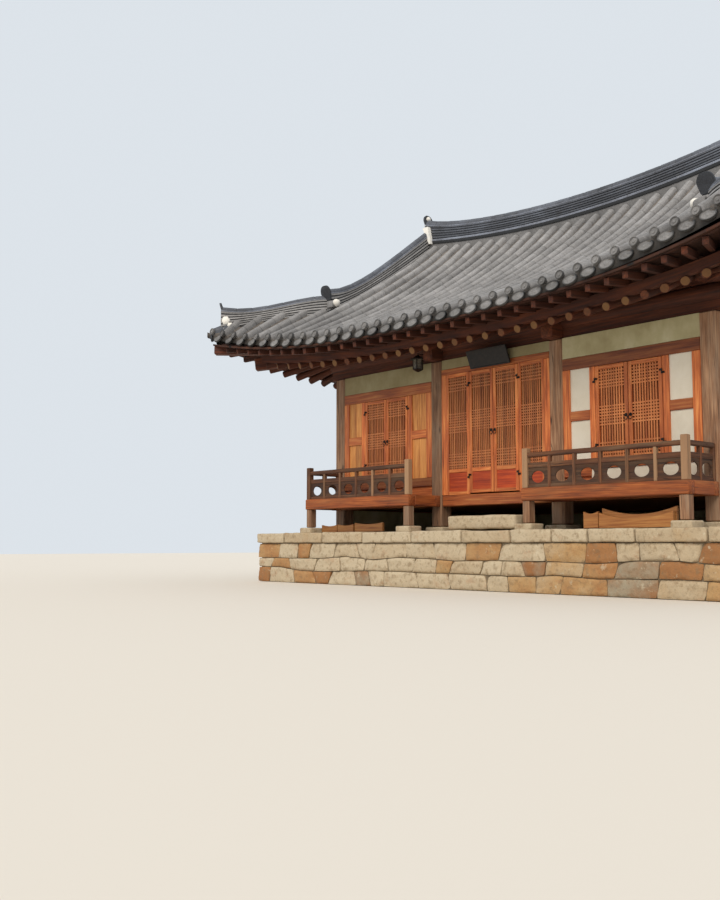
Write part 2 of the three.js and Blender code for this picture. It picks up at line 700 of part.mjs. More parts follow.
const sideBayDoors = (bay) =>
  doorPair(bayCentre(bay), DOOR.half, SILL.top + DOOR.gap, SIDE_LINTEL.bottom - DOOR.gap);

// Four leaves fill the centre bay: the outer two are fixed, the inner two open.
const centreDoors = () =>
  doorPair(
    0,
    CENTRE_LEAF + DOOR.gap / 2,
    FLOOR_TOP + THRESHOLD,
    CENTRE_LINTEL.bottom - DOOR.gap,
    KICK_PANEL_TOP,
  );

function fixedLeaves() {
  const near = CENTRE_LEAF + DOOR.gap / 2;
  const far = 2 * CENTRE_LEAF + 1;
  const height = [FLOOR_TOP - 1, CENTRE_LINTEL.bottom + 1];
  return [doorLeaf(-far, -near, ...height, KICK_PANEL_TOP), doorLeaf(near, far, ...height, KICK_PANEL_TOP)];
}

// Floor, decks and railings

function roomFloor() {
  const side = HALF_X + WALL_FACE - HALF_Y - WALL_THICK - GAP;
  const slab = box(
    -side,
    side,
    -FRAME_FACE + FRAME_THICK + GAP,
    WALL_FACE - WALL_THICK - GAP,
    FLOOR_TOP - FLOOR_THICK,
    FLOOR_TOP,
  );
  const reach = HALF_COLUMN + GAP;
  return cut(
    slab,
    columnPlaces().map(([x, y]) => box(x - reach, x + reach, y - reach, y + reach, 0, WALL_TOP)),
  );
}

function deck(sign) {
  const back = -(HALF_Y + HALF_COLUMN + GAP);
  const front = -(WALL_FACE + DECK_DEPTH);
  const floor = box(sign * DECK.inner, sign * DECK.outer, front, back, DECK_BOTTOM, FLOOR_TOP);
  const posts = deckPosts()
    .filter(([x]) => x * sign > 0)
    .map(([x, y]) => {
      const half = DECK_POST / 2;
      const foot = PLATFORM_TOP + POST_STONE.height + GAP;
      return box(x - half, x + half, y - half, y + half, foot, DECK_BOTTOM + 1);
    });
  return join([floor, ...posts]);
}

// A run of railing along X: posts, a hand rail, a middle rail, a foot rail and pierced boards.
function railRun(x0, x1, y, panels, withEndPost) {
  const pitch = (x1 - x0) / panels;
  const half = RAIL.width / 2;
  const foot = FLOOR_TOP + GAP;
  const pieces = [
    box(x0, x1, y - half, y + half, RAIL.top - RAIL.thick, RAIL.top),
    box(x0, x1, y - 20, y + 20, RAIL_MID.bottom, RAIL_MID.top),
    box(x0, x1, y - 25, y + 25, foot, foot + 45),
  ];
  for (let i = 0; i <= panels; i++) {
    const corner = i === 0 || (i === panels && withEndPost);
    const wide = corner ? RAIL.post / 2 : RAIL_SLAT.width / 2;
    const centre = x0 + i * pitch;
    const top = corner ? RAIL.postTop : RAIL.top - 5;
    pieces.push(box(centre - wide, centre + wide, y - wide, y + wide, foot, top));
  }
  const holes = [];
  for (let i = 0; i < panels; i++) {
    const hole = new THREE.Path();
    hole.absellipse(x0 + (i + 0.5) * pitch, WIND_HOLE.height, WIND_HOLE.x, WIND_HOLE.z, 0, 2 * Math.PI, true);
    holes.push(hole);
  }
  const board = [
    [x0, foot],
    [x1, foot],
    [x1, RAIL_PANEL_TOP + 5],
    [x0, RAIL_PANEL_TOP + 5],
  ];
  const thick = RAIL_SLAT.thick / 2;
  pieces.push(extrude(board, y - thick, y + thick, "y", holes));
  return join(pieces);
}

function railing() {
  const y = -(WALL_FACE + DECK_DEPTH - RAIL.post / 2 - RAIL.inset);
  const outer = DECK.outer - RAIL.post / 2 - RAIL.inset;
  const inner = DECK.inner + RAIL.post / 2 + RAIL.inset;
  const along = railRun(inner, outer, y, RAIL_PANELS, true);
  const back = -(HALF_Y + HALF_COLUMN + GAP + RAIL_SLAT.width / 2 + 2);
  const across = railRun(0, back - y, 0, RETURN_PANELS, false)
    .rotate([0, 0, 90])
    .translate([outer, y, 0]);
  return join([along, across]);
}

// Side and back walls

// A plaster wall between two columns, with a ground beam and rails; it stands on the platform.
function wallPanel(from, to, place, opening) {
  const [x0, x1] = [from, to].map((end) => {
    const corner = Math.abs(end) === (place === onSide ? HALF_Y : HALF_X);
    return end + Math.sign((from + to) / 2 - end) * (HALF_COLUMN + (corner ? GAP : -1));
  });
  const face = WALL_FACE - HALF_Y;
  const beam = (z0, z1, proud = 12) => place(x0, x1, face + proud, face - WALL_THICK, z0, z1);
  const pieces = [
    place(x0, x1, face, face - WALL_THICK, PLATFORM_TOP + GAP, WALL_TOP - GAP),
    beam(DECK_BOTTOM, FLOOR_TOP),
    beam(SIDE_LINTEL.bottom, SIDE_LINTEL.top),
  ];
  if (!opening) return join(pieces);
  const middle = (from + to) / 2;
  const { half, foot, head } = opening;
  for (const sign of [-1, 1]) {
    const post = [middle + sign * half, middle + sign * (half + JAMB)];
    pieces.push(place(Math.min(...post), Math.max(...post), face + 12, face - WALL_THICK, FLOOR_TOP - 1, head + 1));
  }
  pieces.push(beam(foot - 140, foot));
  return cut(join(pieces), [place(middle - half, middle + half, face + 50, face - WALL_THICK - 50, foot, head)]);
}

// The closed pair of leaves in a window or a doorway; it touches the wall all round.
function closedPair(from, to, place, opening) {
  const middle = (from + to) / 2;
  const { half, foot, head } = opening;
  const face = WALL_FACE - HALF_Y - 5;
  const rim = DOOR.stile;
  const slab = place(middle - half - 1, middle + half + 1, face, face - DOOR.thick, foot - 1, head + 1);
  const fields = [-1, 1].map((sign) => {
    const ends = [middle + sign * rim, middle + sign * (half - rim)];
    return place(Math.min(...ends), Math.max(...ends), face + 1, face - DOOR.recess, foot + rim, head - rim);
  });
  return cut(slab, fields);
}

const onSide = (y0, y1, out0, out1, z0, z1) => box(HALF_X + out1, HALF_X + out0, y0, y1, z0, z1);
const onBack = (x0, x1, out0, out1, z0, z1) => box(x0, x1, HALF_Y + out1, HALF_Y + out0, z0, z1);
const WINDOW = { half: REAR_LEAVES, foot: SILL.top, head: SIDE_LINTEL.bottom };
const BACK_DOOR = { half: REAR_LEAVES, foot: FLOOR_TOP, head: SIDE_LINTEL.bottom };

function overStones(solid) {
  const size = BASE_STONE.half + GAP;
  const top = PLATFORM_TOP + BASE_STONE.height + GAP;
  return cut(
    solid,
    columnPlaces().map(([x, y]) => box(x - size, x + size, y - size, y + size, 0, top)),
  );
}

function backWall() {
  const [left, inner] = [-1.5 * BAY, -0.5 * BAY];
  return join([
    wallPanel(left, inner, onBack),
    wallPanel(inner, -inner, onBack, BACK_DOOR),
    wallPanel(-inner, -left, onBack),
    closedPair(inner, -inner, onBack, BACK_DOOR),
    ...WALL_COLUMNS.back.map(column),
  ]);
}

function sideWall() {
  return join([
    wallPanel(-HALF_Y, 0, onSide),
    wallPanel(0, HALF_Y, onSide, WINDOW),
    closedPair(0, HALF_Y, onSide, WINDOW),
    ...WALL_COLUMNS.side.map(column),
  ]);
}

// Gables and ridges

function gable() {
  const outline = [];
  const reach = HIP_TOP_Y - 60;
  for (const y of steps(-reach, reach, 16)) {
    const edge = frontEave(TILE_END, GABLE_EDGE).out;
    outline.push([y, upperSlope(GABLE_EDGE, edge - Math.max(Math.abs(y), RIDGE_HALF)) - 15]);
  }
  const lower = [...outline]
    .reverse()
    .map(([y, z]) => [y, Math.max(z - BARGE.drop, skirtTop(y) + 12)])
    .map(([y, z], i, all) => [y, Math.min(z, all.length ? outline[outline.length - 1 - i][1] - 8 : z)]);
  const barge = extrude([...outline, ...lower], GABLE_EDGE + GAP, GABLE_EDGE + BARGE.thick, "x");
  const wallOutline = [
    [-reach + 250, GABLE_WALL.foot],
    [reach - 250, GABLE_WALL.foot],
    ...[...outline].reverse().filter(([y]) => Math.abs(y) < reach - 100),
  ];
  const wall = extrude(wallOutline, GABLE_EDGE - GABLE_WALL.thick, GABLE_EDGE + GAP + 1, "x");
  const others = [
    front.tiles,
    mirrorY(front.tiles),
    front.boards,
    mirrorY(front.boards),
    mainRidge(),
    sideEaves(),
    side.tiles,
  ];
  return cut(
    join([barge, wall]),
    others.flatMap((one) => [-GAP, 2 * GAP].map((shift) => one.translate([0, 0, shift]))),
  );
}

function mainRidge() {
  const half = RIDGE_END;
  const top = (x) => ridgeBase(x) + MAIN_RIDGE.height + MAIN_RIDGE.tipLift * Math.abs(x / half) ** 6;
  const sheet = (height, width) =>
    [-width, width].map((y) => steps(-half, half, 14).map((x) => [x, y, height(x)]));
  const under = (drop) => (x) => ridgeBase(x) - drop;
  const below = (drop) => (x) => top(x) - drop;
  const body = layer(sheet(below(60), MAIN_RIDGE.wall), sheet(under(MAIN_RIDGE.foot), MAIN_RIDGE.wall));
  const foot = layer(sheet(under(20), RIDGE_HALF), sheet(under(MAIN_RIDGE.foot), RIDGE_HALF));
  const cap = layer(sheet(top, 70), sheet(below(90), 90));
  const ends = [1, -1].map((sign) => endTile([sign * (half + 15), 0], top(half) - 10, sign, 0));
  return join([body, foot, cap, ...ends]);
}

// An upright end tile: a pointed oval slab, its face towards (nx, ny), its foot in the ridge's end.
function endTile(at, z, nx, ny) {
  const { half, rise, foot, thick, lean } = END_TILE;
  const outline = [
    [-half * 0.7, -foot],
    [half * 0.7, -foot],
    [half, -foot * 0.3],
    [half * 0.82, rise * 0.5],
    [0, rise],
    [-half * 0.82, rise * 0.5],
    [-half, -foot * 0.3],
  ];
  const slab = extrude(outline, -thick / 2, thick / 2, "x").rotate([0, lean, 0]);
  return slab.rotate([0, 0, (Math.atan2(ny, nx) * 180) / Math.PI]).translate([at[0], at[1], z]);
}

// A ridge along a line of points (x, y, height of its top), on a course that faces (nx, ny).
function ridgeAlong(line, half = CORNER_RIDGE.half) {
  const ribbon = (drop, narrow) =>
    [-1, 1].map((sign) =>
      line.map((p) => {
        const away = sign * half * narrow;
        return [p.x + p.nx * away, p.y + p.ny * away, p.top - drop(p)];
      }),
    );
  const shallow = ribbon(() => 0, 0.7);
  const deep = ribbon((p) => p.deep, 1);
  return orientedLayer(shallow, deep);
}

// The ridge that runs down the gable's edge, past the foot of the gable.
function descendingRidge() {
  const { half, height, tipLift, overrun } = CORNER_RIDGE;
  const x = GABLE_EDGE - half;
  const end = HIP_TOP_Y + overrun;
  const line = steps(RIDGE_HALF + GAP, end, 7).map((out) => {
    const z = upperSlope(GABLE_EDGE, frontEave(TILE_END, GABLE_EDGE).out - out);
    const top = z + height + tipLift * (out / end) ** 4;
    return { x, y: -out, top, deep: height + 60, nx: 1, ny: 0 };
  });
  return join([ridgeAlong(line), endTile([x, -end - 25], line.at(-1).top - 15, 0, -1)]);
}

// The lower ridge, from the foot of the gable along the hip to the corner.
function hipRidge() {
  const { height, hipLess, hipTipLift } = CORNER_RIDGE;
  const line = steps(-0.06, 1, 6).map((share) => {
    const x = GABLE_EDGE + (hipCorner - CORNER_RIDGE.short - GABLE_EDGE) * share;
    const top = hipHeight(x) + height - hipLess + hipTipLift * Math.max(share, 0) ** 3;
    return { x, y: -(x - toDiagonal), top, deep: height + 60, nx: Math.SQRT1_2, ny: Math.SQRT1_2 };
  });
  const tip = line.at(-1);
  return join([ridgeAlong(line), endTile([tip.x - 10, tip.y + 10], tip.top - 50, 1, -1)]);
}

function cornerRidge() {
  const slopes = [front.tiles, side.tiles, front.boards, side.boards];
  const seam = steps(GABLE_EDGE - 100, hipCorner, 6).map((x) => {
    return { x, y: -(x - toDiagonal), top: hipHeight(x) + 2 * GAP, deep: 600, nx: Math.SQRT1_2, ny: Math.SQRT1_2 };
  });
  return cut(join([descendingRidge(), hipRidge()]), [
    ...slopes.flatMap((one) => [one, one.translate([0, 0, 2 * GAP])]),
    ridgeAlong(seam, 6),
    mainRidge(),
    mainRidge().translate([0, -GAP, 0]),
    gable(),
    gable().translate([-2 * GAP, 0, 0]),
    gable().translate([0, -GAP, 2 * GAP]),
    gable().translate([0, -GAP, 0]),
  ]);
}

function largest(solid) {
  return solid.decompose().sort((a, b) => b.volume() - a.volume())[0];
}

// Name board

function nameBoard() {
  const { width, height, thick, tilt, z, out } = NAME_BOARD;
  const geometry = new THREE.BoxGeometry(width, thick, height);
  geometry.rotateX(tilt);
  geometry.translate(0, -(HALF_Y + out), z);
  const arms = [-0.32, 0.32].map((share) =>
    box(share * width - 20, share * width + 20, -(HALF_Y + out), -(WALL_FACE + GAP), z - 20, z + 20),
  );
  return join([toSolid(geometry), ...arms]);
}

// The group

const house = new THREE.Group();

function add(name, solid, colour, roughness = 0.8) {
  const material = new THREE.MeshStandardMaterial({ color: COLOURS[colour], roughness, metalness: 0 });
  const mesh = new THREE.Mesh(toGeometry(largest(solid).simplify(SLACK)), material);
  mesh.name = name;
  house.add(mesh);
}

add("stone_platform", platform(), "granite", 0.9);
add(
  "step_stone",
  box(
    STEP.offset - STEP.length / 2,
    STEP.offset + STEP.length / 2,
    -(WALL_FACE + STEP.fromFace + STEP.depth),
    -(WALL_FACE + STEP.fromFace),
    PLATFORM_TOP + GAP,
    PLATFORM_TOP + STEP.height,
  ),
  "granite",
  0.9,
);
freeColumns().forEach(({ name, at }) => add(name, column(at), "oldTimber"));
add("roof_frame", roofFrame(), "timber");
add("room_floor", roomFloor(), "pine");
add("left_deck", deck(-1), "deck");
add("right_deck", deck(1), "deck");
add("left_railing", mirrorX(railing()), "oldTimber");
add("right_railing", railing(), "oldTimber");
add("left_bay_frame", sideBayFrame(-1), "pine");
add("right_bay_frame", sideBayFrame(1), "pine");
add("centre_bay_frame", centreFrame(), "pine");
add("left_bay_infill", sideBayInfill(-1), "pine");
add("right_bay_infill", sideBayInfill(1), "plaster");
for (const [name, pair] of [
  ["left", sideBayDoors(-1)],
  ["centre", centreDoors()],
  ["right", sideBayDoors(1)],
]) {
  pair.forEach(({ solid }, i) => add(`${name}_bay_door_${i + 1}`, solid, "pine"));
}
add("back_wall", overStones(backWall()), "plaster");
add("left_wall", overStones(mirrorX(sideWall())), "plaster");
add("right_wall", overStones(sideWall()), "plaster");
const frontTimber = frontEaves();
add("front_eaves", frontTimber, "timber");
add("back_eaves", mirrorY(frontTimber), "timber");
const sideTimber = sideEaves();
add("left_eaves", mirrorX(sideTimber), "timber");
add("right_eaves", sideTimber, "timber");
add("front_roof_slope", front.tiles, "tile");
add("back_roof_slope", mirrorY(front.tiles), "tile");
add("left_roof_slope", mirrorX(side.tiles), "tile");
add("right_roof_slope", side.tiles, "tile");
const rightGable = gable();
add("right_gable", rightGable, "timber");
add("left_gable", mirrorX(rightGable), "timber");
add("main_ridge", mainRidge(), "tile");
const ridge = cornerRidge();
add("front_right_ridge", ridge, "tile");
add("front_left_ridge", mirrorX(ridge), "tile");
add("back_right_ridge", mirrorY(ridge), "tile");
add("back_left_ridge", mirrorX(mirrorY(ridge)), "tile");
add("name_board", nameBoard(), "black", 0.5);

export default house;
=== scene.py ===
import math
import bmesh
import bpy
import numpy as np
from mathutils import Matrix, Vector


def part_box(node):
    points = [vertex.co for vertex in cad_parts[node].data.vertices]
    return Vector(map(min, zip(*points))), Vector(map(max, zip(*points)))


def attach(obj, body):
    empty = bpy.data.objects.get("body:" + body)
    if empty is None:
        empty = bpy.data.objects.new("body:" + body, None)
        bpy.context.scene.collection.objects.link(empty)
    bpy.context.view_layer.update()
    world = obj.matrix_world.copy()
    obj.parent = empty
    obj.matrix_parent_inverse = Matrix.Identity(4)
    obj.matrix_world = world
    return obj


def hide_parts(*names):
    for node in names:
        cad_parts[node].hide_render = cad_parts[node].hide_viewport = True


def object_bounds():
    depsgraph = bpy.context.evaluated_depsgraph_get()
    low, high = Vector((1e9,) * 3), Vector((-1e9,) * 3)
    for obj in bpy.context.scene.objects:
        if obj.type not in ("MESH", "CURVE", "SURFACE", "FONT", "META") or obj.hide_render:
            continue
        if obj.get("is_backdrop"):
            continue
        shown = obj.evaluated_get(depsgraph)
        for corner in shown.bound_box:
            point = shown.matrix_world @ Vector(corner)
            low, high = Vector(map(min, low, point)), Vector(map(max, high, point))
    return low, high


# A three-bay hanok dressed around its frame: boards, bars, stones, tiles and the finish of each
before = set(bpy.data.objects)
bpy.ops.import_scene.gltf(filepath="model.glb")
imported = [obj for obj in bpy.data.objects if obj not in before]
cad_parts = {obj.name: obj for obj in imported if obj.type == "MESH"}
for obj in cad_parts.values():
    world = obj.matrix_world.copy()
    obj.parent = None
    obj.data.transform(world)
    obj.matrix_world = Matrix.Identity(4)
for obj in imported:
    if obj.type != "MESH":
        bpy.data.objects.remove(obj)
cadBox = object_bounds()
rng = np.random.default_rng(11)
print("frame loaded:", len(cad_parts), "nodes")


def corners(node):
    low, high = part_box(node)
    return np.array(low), np.array(high)


# Sizes that the whole house shares, in metres. Some are read from the frame
postLow, postHigh = corners("front_column_4")
house = {
    "halfX": (postLow[0] + postHigh[0]) / 2,  # column line of the sides
    "halfY": -(postLow[1] + postHigh[1]) / 2,  # column line of the front and the back
    "column": postHigh[0] - postLow[0],
    "wallTop": postHigh[2],
    "floor": corners("room_floor")[1][2],
    "underFloor": 1.25,
    "wallFace": .095,  # out from the column line
    "frameFace": .105,
    "lintel": (3.12, 3.29),
    "sill": (1.59, 1.73),
    "platformTop": .86,
}
house["bay"] = house["halfX"] / 1.5


# Node materials


class Wire:
    # One output of a node. Sums and products of wires add their Math nodes
    def __init__(self, finish, socket):
        self.finish = finish
        self.socket = socket

    def join(self, operation, first, second):
        return self.finish.node("Math", {"operation": operation}, {0: first, 1: second})

    def __add__(self, other):
        return self.join("ADD", self, other)

    def __sub__(self, other):
        return self.join("SUBTRACT", self, other)

    def __rsub__(self, other):
        return self.join("SUBTRACT", other, self)

    def __mul__(self, other):
        return self.join("MULTIPLY", self, other)

    def __abs__(self):
        return self.join("ABSOLUTE", self, 0)

    __radd__ = __add__
    __rmul__ = __mul__


class Finish:
    # A material in the making. node() adds any node: settings first, then values or wires for its sockets
    def __init__(self, name):
        self.material = bpy.data.materials.new(name)
        self.material.use_nodes = True
        self.tree = self.material.node_tree
        self.surface = self.tree.nodes["Principled BSDF"]

    def feed(self, socket, value):
        if isinstance(value, Wire):
            self.tree.links.new(value.socket, socket)
        else:
            socket.default_value = value

    def node(self, kind, settings, inputs, output=0):
        made = self.tree.nodes.new("ShaderNode" + kind)
        for key, value in settings.items():
            if key == "stops":
                setStops(made.color_ramp, value)
            else:
                setattr(made, key, value)
        for key, value in inputs.items():
            self.feed(made.inputs[key], value)
        return Wire(self, made.outputs[output])

    def attribute(self, name, output):
        return self.node("Attribute", {"attribute_name": name}, {}, output)

    def place(self):
        return self.node("TexCoord", {}, {}, "Object")

    def scaled(self, vector, factors):
        return self.node("VectorMath", {"operation": "MULTIPLY"}, {0: vector, 1: factors})

    def noise(self, vector, factors, detail=3, rough=.5):
        # One factor, or one for each axis
        stretched = self.scaled(vector, np.broadcast_to(factors, 3).tolist())
        inputs = {"Vector": stretched, "Scale": 1, "Detail": detail, "Roughness": rough}
        return self.node("TexNoise", {}, inputs)

    def step(self, value, low, high):
        # 0 below low, 1 above high, smooth between
        settings = {"interpolation_type": "SMOOTHSTEP"}
        return self.node("MapRange", settings, {"Value": value, "From Min": low, "From Max": high})

    def ramp(self, value, stops):
        return self.node("ValToRGB", {"stops": stops}, {"Fac": value})

    def mix(self, factor, first, second):
        return self.node("Mix", {"data_type": "RGBA"}, {"Factor": factor, 6: first, 7: second}, 2)

    def lit(self, colour, factor):
        return self.node("VectorMath", {"operation": "SCALE"}, {0: colour, "Scale": factor})

    def done(self, colour, rough, height, depth, metal=0):
        bump = self.node("Bump", {}, {"Strength": 1, "Distance": depth, "Height": height})
        self.feed(self.surface.inputs["Base Color"], colour)
        self.feed(self.surface.inputs["Roughness"], rough)
        self.feed(self.surface.inputs["Normal"], bump)
        self.surface.inputs["Metallic"].default_value = metal
        return self.material


def setStops(ramp, stops):
    while len(ramp.elements) < len(stops):
        ramp.elements.new(.5)
    for element, (position, colour) in zip(ramp.elements, stops):
        element.position = position
        element.color = colour


def rgb(*levels):
    # Screen levels of 0 to 255 as linear red, green, blue and an alpha of 1
    return (*[((level / 255 + .055) / 1.055) ** 2.4 for level in levels], 1)


def timberFinish(name, look):
    # Fibres, growth bands, drying cracks, knots and grey weathering along the grain that each timber carries
    f = Finish(name)
    grain = f.attribute("grain", "Vector")
    tone = f.attribute("tone", "Fac")
    bands = f.noise(grain, (.35, 7, 7), 2)
    rings = f.node("Math", {"operation": "SINE"}, {0: bands * look["rings"]})
    streaks = f.noise(grain, (1.3, 38, 38), 5, .6)
    fibres = f.noise(grain, (4, 190, 190), 2)
    mottle = f.noise(grain, (1.5, 8, 8), 4, .6)
    shade = streaks * .42 + mottle * .36 + rings * .03 + fibres * .22
    colour = f.ramp(shade, [(.37, look["deep"]), (.5, look["middle"]), (.63, look["pale"])])
    weather = f.step(f.noise(grain, (.8, 5, 5), 4, .65), .46, .66) * look["weather"]
    colour = f.mix(weather, colour, look["grey"])
    slit = abs(f.noise(grain, (.45, 15, 15), 1) - .5)
    crack = (1 - f.step(slit, .002, look["crackWidth"])) * f.step(mottle, .42, .55) * look["cracks"]
    colour = f.mix(crack * .85, colour, look["dark"])
    knotAt = f.scaled(grain, (1.1, 3.4, 3.4))
    knot = 1 - f.step(f.node("TexVoronoi", {}, {"Vector": knotAt, "Scale": 1}), .03, .1)
    colour = f.mix(knot * look["knots"], colour, look["dark"])
    if look.get("seam"):
        across = f.node("SeparateXYZ", {}, {0: grain}, 1) * (1 / look["seam"])
        edge = abs(f.node("Math", {"operation": "FRACT"}, {0: across}) - .5)
        seam = f.step(edge, .462, .485)
        colour = f.mix(seam, colour, look["dark"])
        crack = crack + seam
    # Each piece's tone lightens or darkens it: at random, and as painted shade on some pieces
    colour = f.lit(colour, 1 + tone * look["spread"])
    colour = f.mix(f.step(tone, 1.2, 1.8), colour, look["end"])
    height = streaks * .5 + fibres * .5 - crack * 1.6 - knot * .4
    return f.done(colour, look["rough"] + fibres * .25, height, look["relief"])


def timberLook(pale, middle, deep, grey, dark, end, **more):
    # Six colours, and what sets this timber apart from the common one
    colours = {"pale": pale, "middle": middle, "deep": deep, "grey": grey, "dark": dark, "end": end}
    common = {"rings": 45, "weather": .15, "cracks": .4, "crackWidth": .008, "knots": .5, "spread": .3,
              "rough": .5, "relief": .003}
    return {**common, **{name: rgb(*levels) for name, levels in colours.items()}, **more}


timberLooks = {
    "joinery": timberLook((222, 141, 76), (190, 99, 44), (128, 58, 22), (150, 97, 61), (52, 26, 14),
        (190, 131, 76), rings=60, cracks=.2, knots=.45, rough=.48, relief=.0025),
    "lattice": timberLook((211, 137, 82), (191, 112, 60), (144, 75, 36), (166, 107, 65), (80, 40, 20),
        (191, 125, 74), rings=40, weather=.2, cracks=0, crackWidth=.01, knots=.1, rough=.55,
        relief=.001),
    "kick": timberLook((195, 82, 25), (166, 57, 13), (124, 37, 7), (152, 65, 22), (60, 20, 8),
        (182, 84, 29), rings=60, cracks=.1, knots=.3, spread=.25, relief=.002),
    "railing": timberLook((113, 72, 41), (83, 48, 26), (54, 30, 16), (109, 85, 61), (26, 16, 12),
        (158, 124, 92), weather=.55, cracks=.8, crackWidth=.014, spread=.35, rough=.68, relief=.004),
    "boards": timberLook((214, 152, 83), (193, 126, 63), (149, 84, 35), (166, 113, 63), (74, 40, 20),
        (198, 142, 77), rings=75, cracks=.15, relief=.0025),
    "old": timberLook((176, 137, 104), (138, 100, 72), (92, 60, 39), (152, 130, 108), (34, 24, 18),
        (150, 112, 77), weather=.5, cracks=.7, crackWidth=.014, knots=.9, spread=.4, rough=.68,
        relief=.005),
    "deck": timberLook((175, 99, 45), (140, 69, 24), (88, 39, 12), (126, 86, 51), (42, 24, 14),
        (154, 103, 52), rings=55, weather=.35, cracks=.35, crackWidth=.01, rough=.6, relief=.004),
    "roofTimber": timberLook((102, 49, 21), (73, 31, 11), (45, 17, 6), (83, 49, 30), (24, 14, 10),
        (118, 82, 44), weather=.2, crackWidth=.012, knots=.4, rough=.66),
    "soffit": timberLook((78, 39, 16), (57, 26, 9), (37, 15, 5), (69, 42, 24), (16, 10, 8),
        (90, 55, 30), weather=.25, crackWidth=.012, knots=.4, spread=.2, seam=.17, rough=.7),
}


def plasterFinish(name, look):
    # Trowelled lime: broad shade, fine sand and a few stains
    f = Finish(name)
    place = f.place()
    broad = f.noise(place, 1.6, 4)
    sweep = f.noise(place, (7, 7, 5), 3, .6)
    sand = f.noise(place, 160, 2)
    colour = f.ramp(broad * .6 + sweep * .4, [(.3, look["deep"]), (.5, look["middle"]), (.7, look["pale"])])
    stain = f.step(f.noise(place, (9, 9, 2.2), 5, .7), .56, .74) * look["stains"]
    colour = f.mix(stain, colour, look["stain"])
    return f.done(colour, .82 + sand * .1, sweep * 1.2 + sand * .3, .004)


def plasterLook(pale, middle, deep, stain, stains):
    return {"pale": rgb(*pale), "middle": rgb(*middle), "deep": rgb(*deep), "stain": rgb(*stain),
            "stains": stains}


plasterLooks = {
    "wall": plasterLook((196, 187, 150), (179, 168, 128), (157, 144, 104), (137, 122, 86), .12),
    # Painted shade: the wall plaster darkened for the strips over the left and centre bays, which the eaves
    # shade
    "wallShade": plasterLook((160, 150, 116), (146, 134, 98), (130, 116, 80), (112, 98, 66), .12),
    "panel": plasterLook((226, 217, 200), (219, 209, 190), (210, 199, 178), (196, 182, 158), .05),
    "lime": plasterLook((244, 242, 236), (232, 228, 220), (206, 200, 190), (140, 134, 126), .35),
    "joint": plasterLook((134, 118, 94), (112, 97, 76), (84, 72, 56), (70, 64, 46), .4),
    "paper": plasterLook((134, 72, 40), (114, 56, 29), (92, 42, 21), (80, 38, 20), .3),
    "greyPaper": plasterLook((142, 112, 74), (120, 90, 56), (98, 64, 36), (92, 50, 26), .6),
}


def stoneFinish(name, look):
    # Each stone's tone picks its colour; rust, lichen and crystals are laid over it
    f = Finish(name)
    grain = f.attribute("grain", "Vector")
    tone = f.attribute("tone", "Fac")
    broad = f.noise(grain, 3, 4, .6)
    middle = f.noise(grain, 13, 4, .65)
    crystals = f.noise(grain, 120, 2)
    base = f.ramp(tone + broad * .5 - .25, look["stones"])
    base = f.mix(f.step(middle, .5, .68) * .55, base, look["shade"])
    base = f.mix((1 - f.step(middle, .3, .42)) * .25, base, look["dark"])
    rust = f.step(f.noise(grain, (4.2, 4.2, 6), 5, .7), .53, .7) * look["rusty"]
    base = f.mix(rust, base, look["rust"])
    lichen = f.step(f.noise(grain, 9, 4, .7), .6, .7) * .5
    base = f.mix(lichen, base, look["lichen"])
    base = f.lit(base, .82 + crystals * .36)
    height = broad * .8 + middle * .7 + crystals * .12
    return f.done(base, .78 + crystals * .15, height, .02)


stoneLook = {
    "stones": [(0, rgb(186, 170, 143)), (.28, rgb(174, 154, 124)), (.48, rgb(174, 139, 94)),
               (.66, rgb(158, 112, 68)), (.82, rgb(142, 96, 56)), (1, rgb(150, 138, 116))],
    "shade": rgb(124, 102, 74),
    "dark": rgb(96, 78, 58),
    "rust": rgb(152, 96, 54),
    "lichen": rgb(196, 184, 158),
    "rusty": .3,
}


def tileFinish(name, look):
    # Fired clay: each tile's tone, which also carries painted shade and highlight on some rows and ridge
    # courses, rain streaks down the slope, pale bloom and dark algae
    f = Finish(name)
    place = f.place()
    grain = f.attribute("grain", "Vector")
    tone = f.attribute("tone", "Fac")
    broad = f.noise(place, 1.1, 4, .6)
    streak = f.noise(grain, (2.2, 26, 9), 4, .6)
    speck = f.noise(place, 55, 3, .6)
    colour = f.ramp(broad * .35 + streak * .3 + speck * .35,
                    [(.36, look["deep"]), (.5, look["middle"]), (.63, look["pale"])])
    bloom = f.step(f.noise(place, 15, 5, .7), .56, .7) * look["bloomed"]
    colour = f.mix(bloom, colour, look["bloom"])
    algae = f.step(f.noise(place, 6, 5, .7), .57, .72) * .45
    colour = f.mix(algae, colour, look["algae"])
    colour = f.lit(colour, 1 + tone * look["spread"])
    return f.done(colour, .62 + speck * .25, speck * .5 + streak * .4, .004)


def tileLook(pale, middle, deep, bloom, bloomed, algae):
    return {"pale": rgb(*pale), "middle": rgb(*middle), "deep": rgb(*deep), "bloom": rgb(*bloom),
            "bloomed": bloomed, "algae": rgb(*algae), "spread": .5}


tileLooks = {
    "pan": tileLook((132, 124, 116), (104, 96, 89), (74, 67, 61), (150, 144, 136), .3, (66, 60, 54)),
    "tile": tileLook((163, 161, 161), (135, 133, 132), (103, 101, 101), (181, 178, 174), .4, (85, 81, 76)),
    "ridgeTile": tileLook((110, 116, 127), (82, 85, 93), (53, 55, 59), (131, 130, 131), .3, (50, 47, 46)),
}


def plainFinish(name, pale, deep, rough, relief, metal=0):
    f = Finish(name)
    place = f.place()
    wear = f.noise(place, 24, 4, .6)
    fine = f.noise(place, 160, 2)
    colour = f.mix(f.step(wear, .35, .68), deep, pale)
    return f.done(colour, rough + fine * .2, wear * .6 + fine * .4, relief, metal)


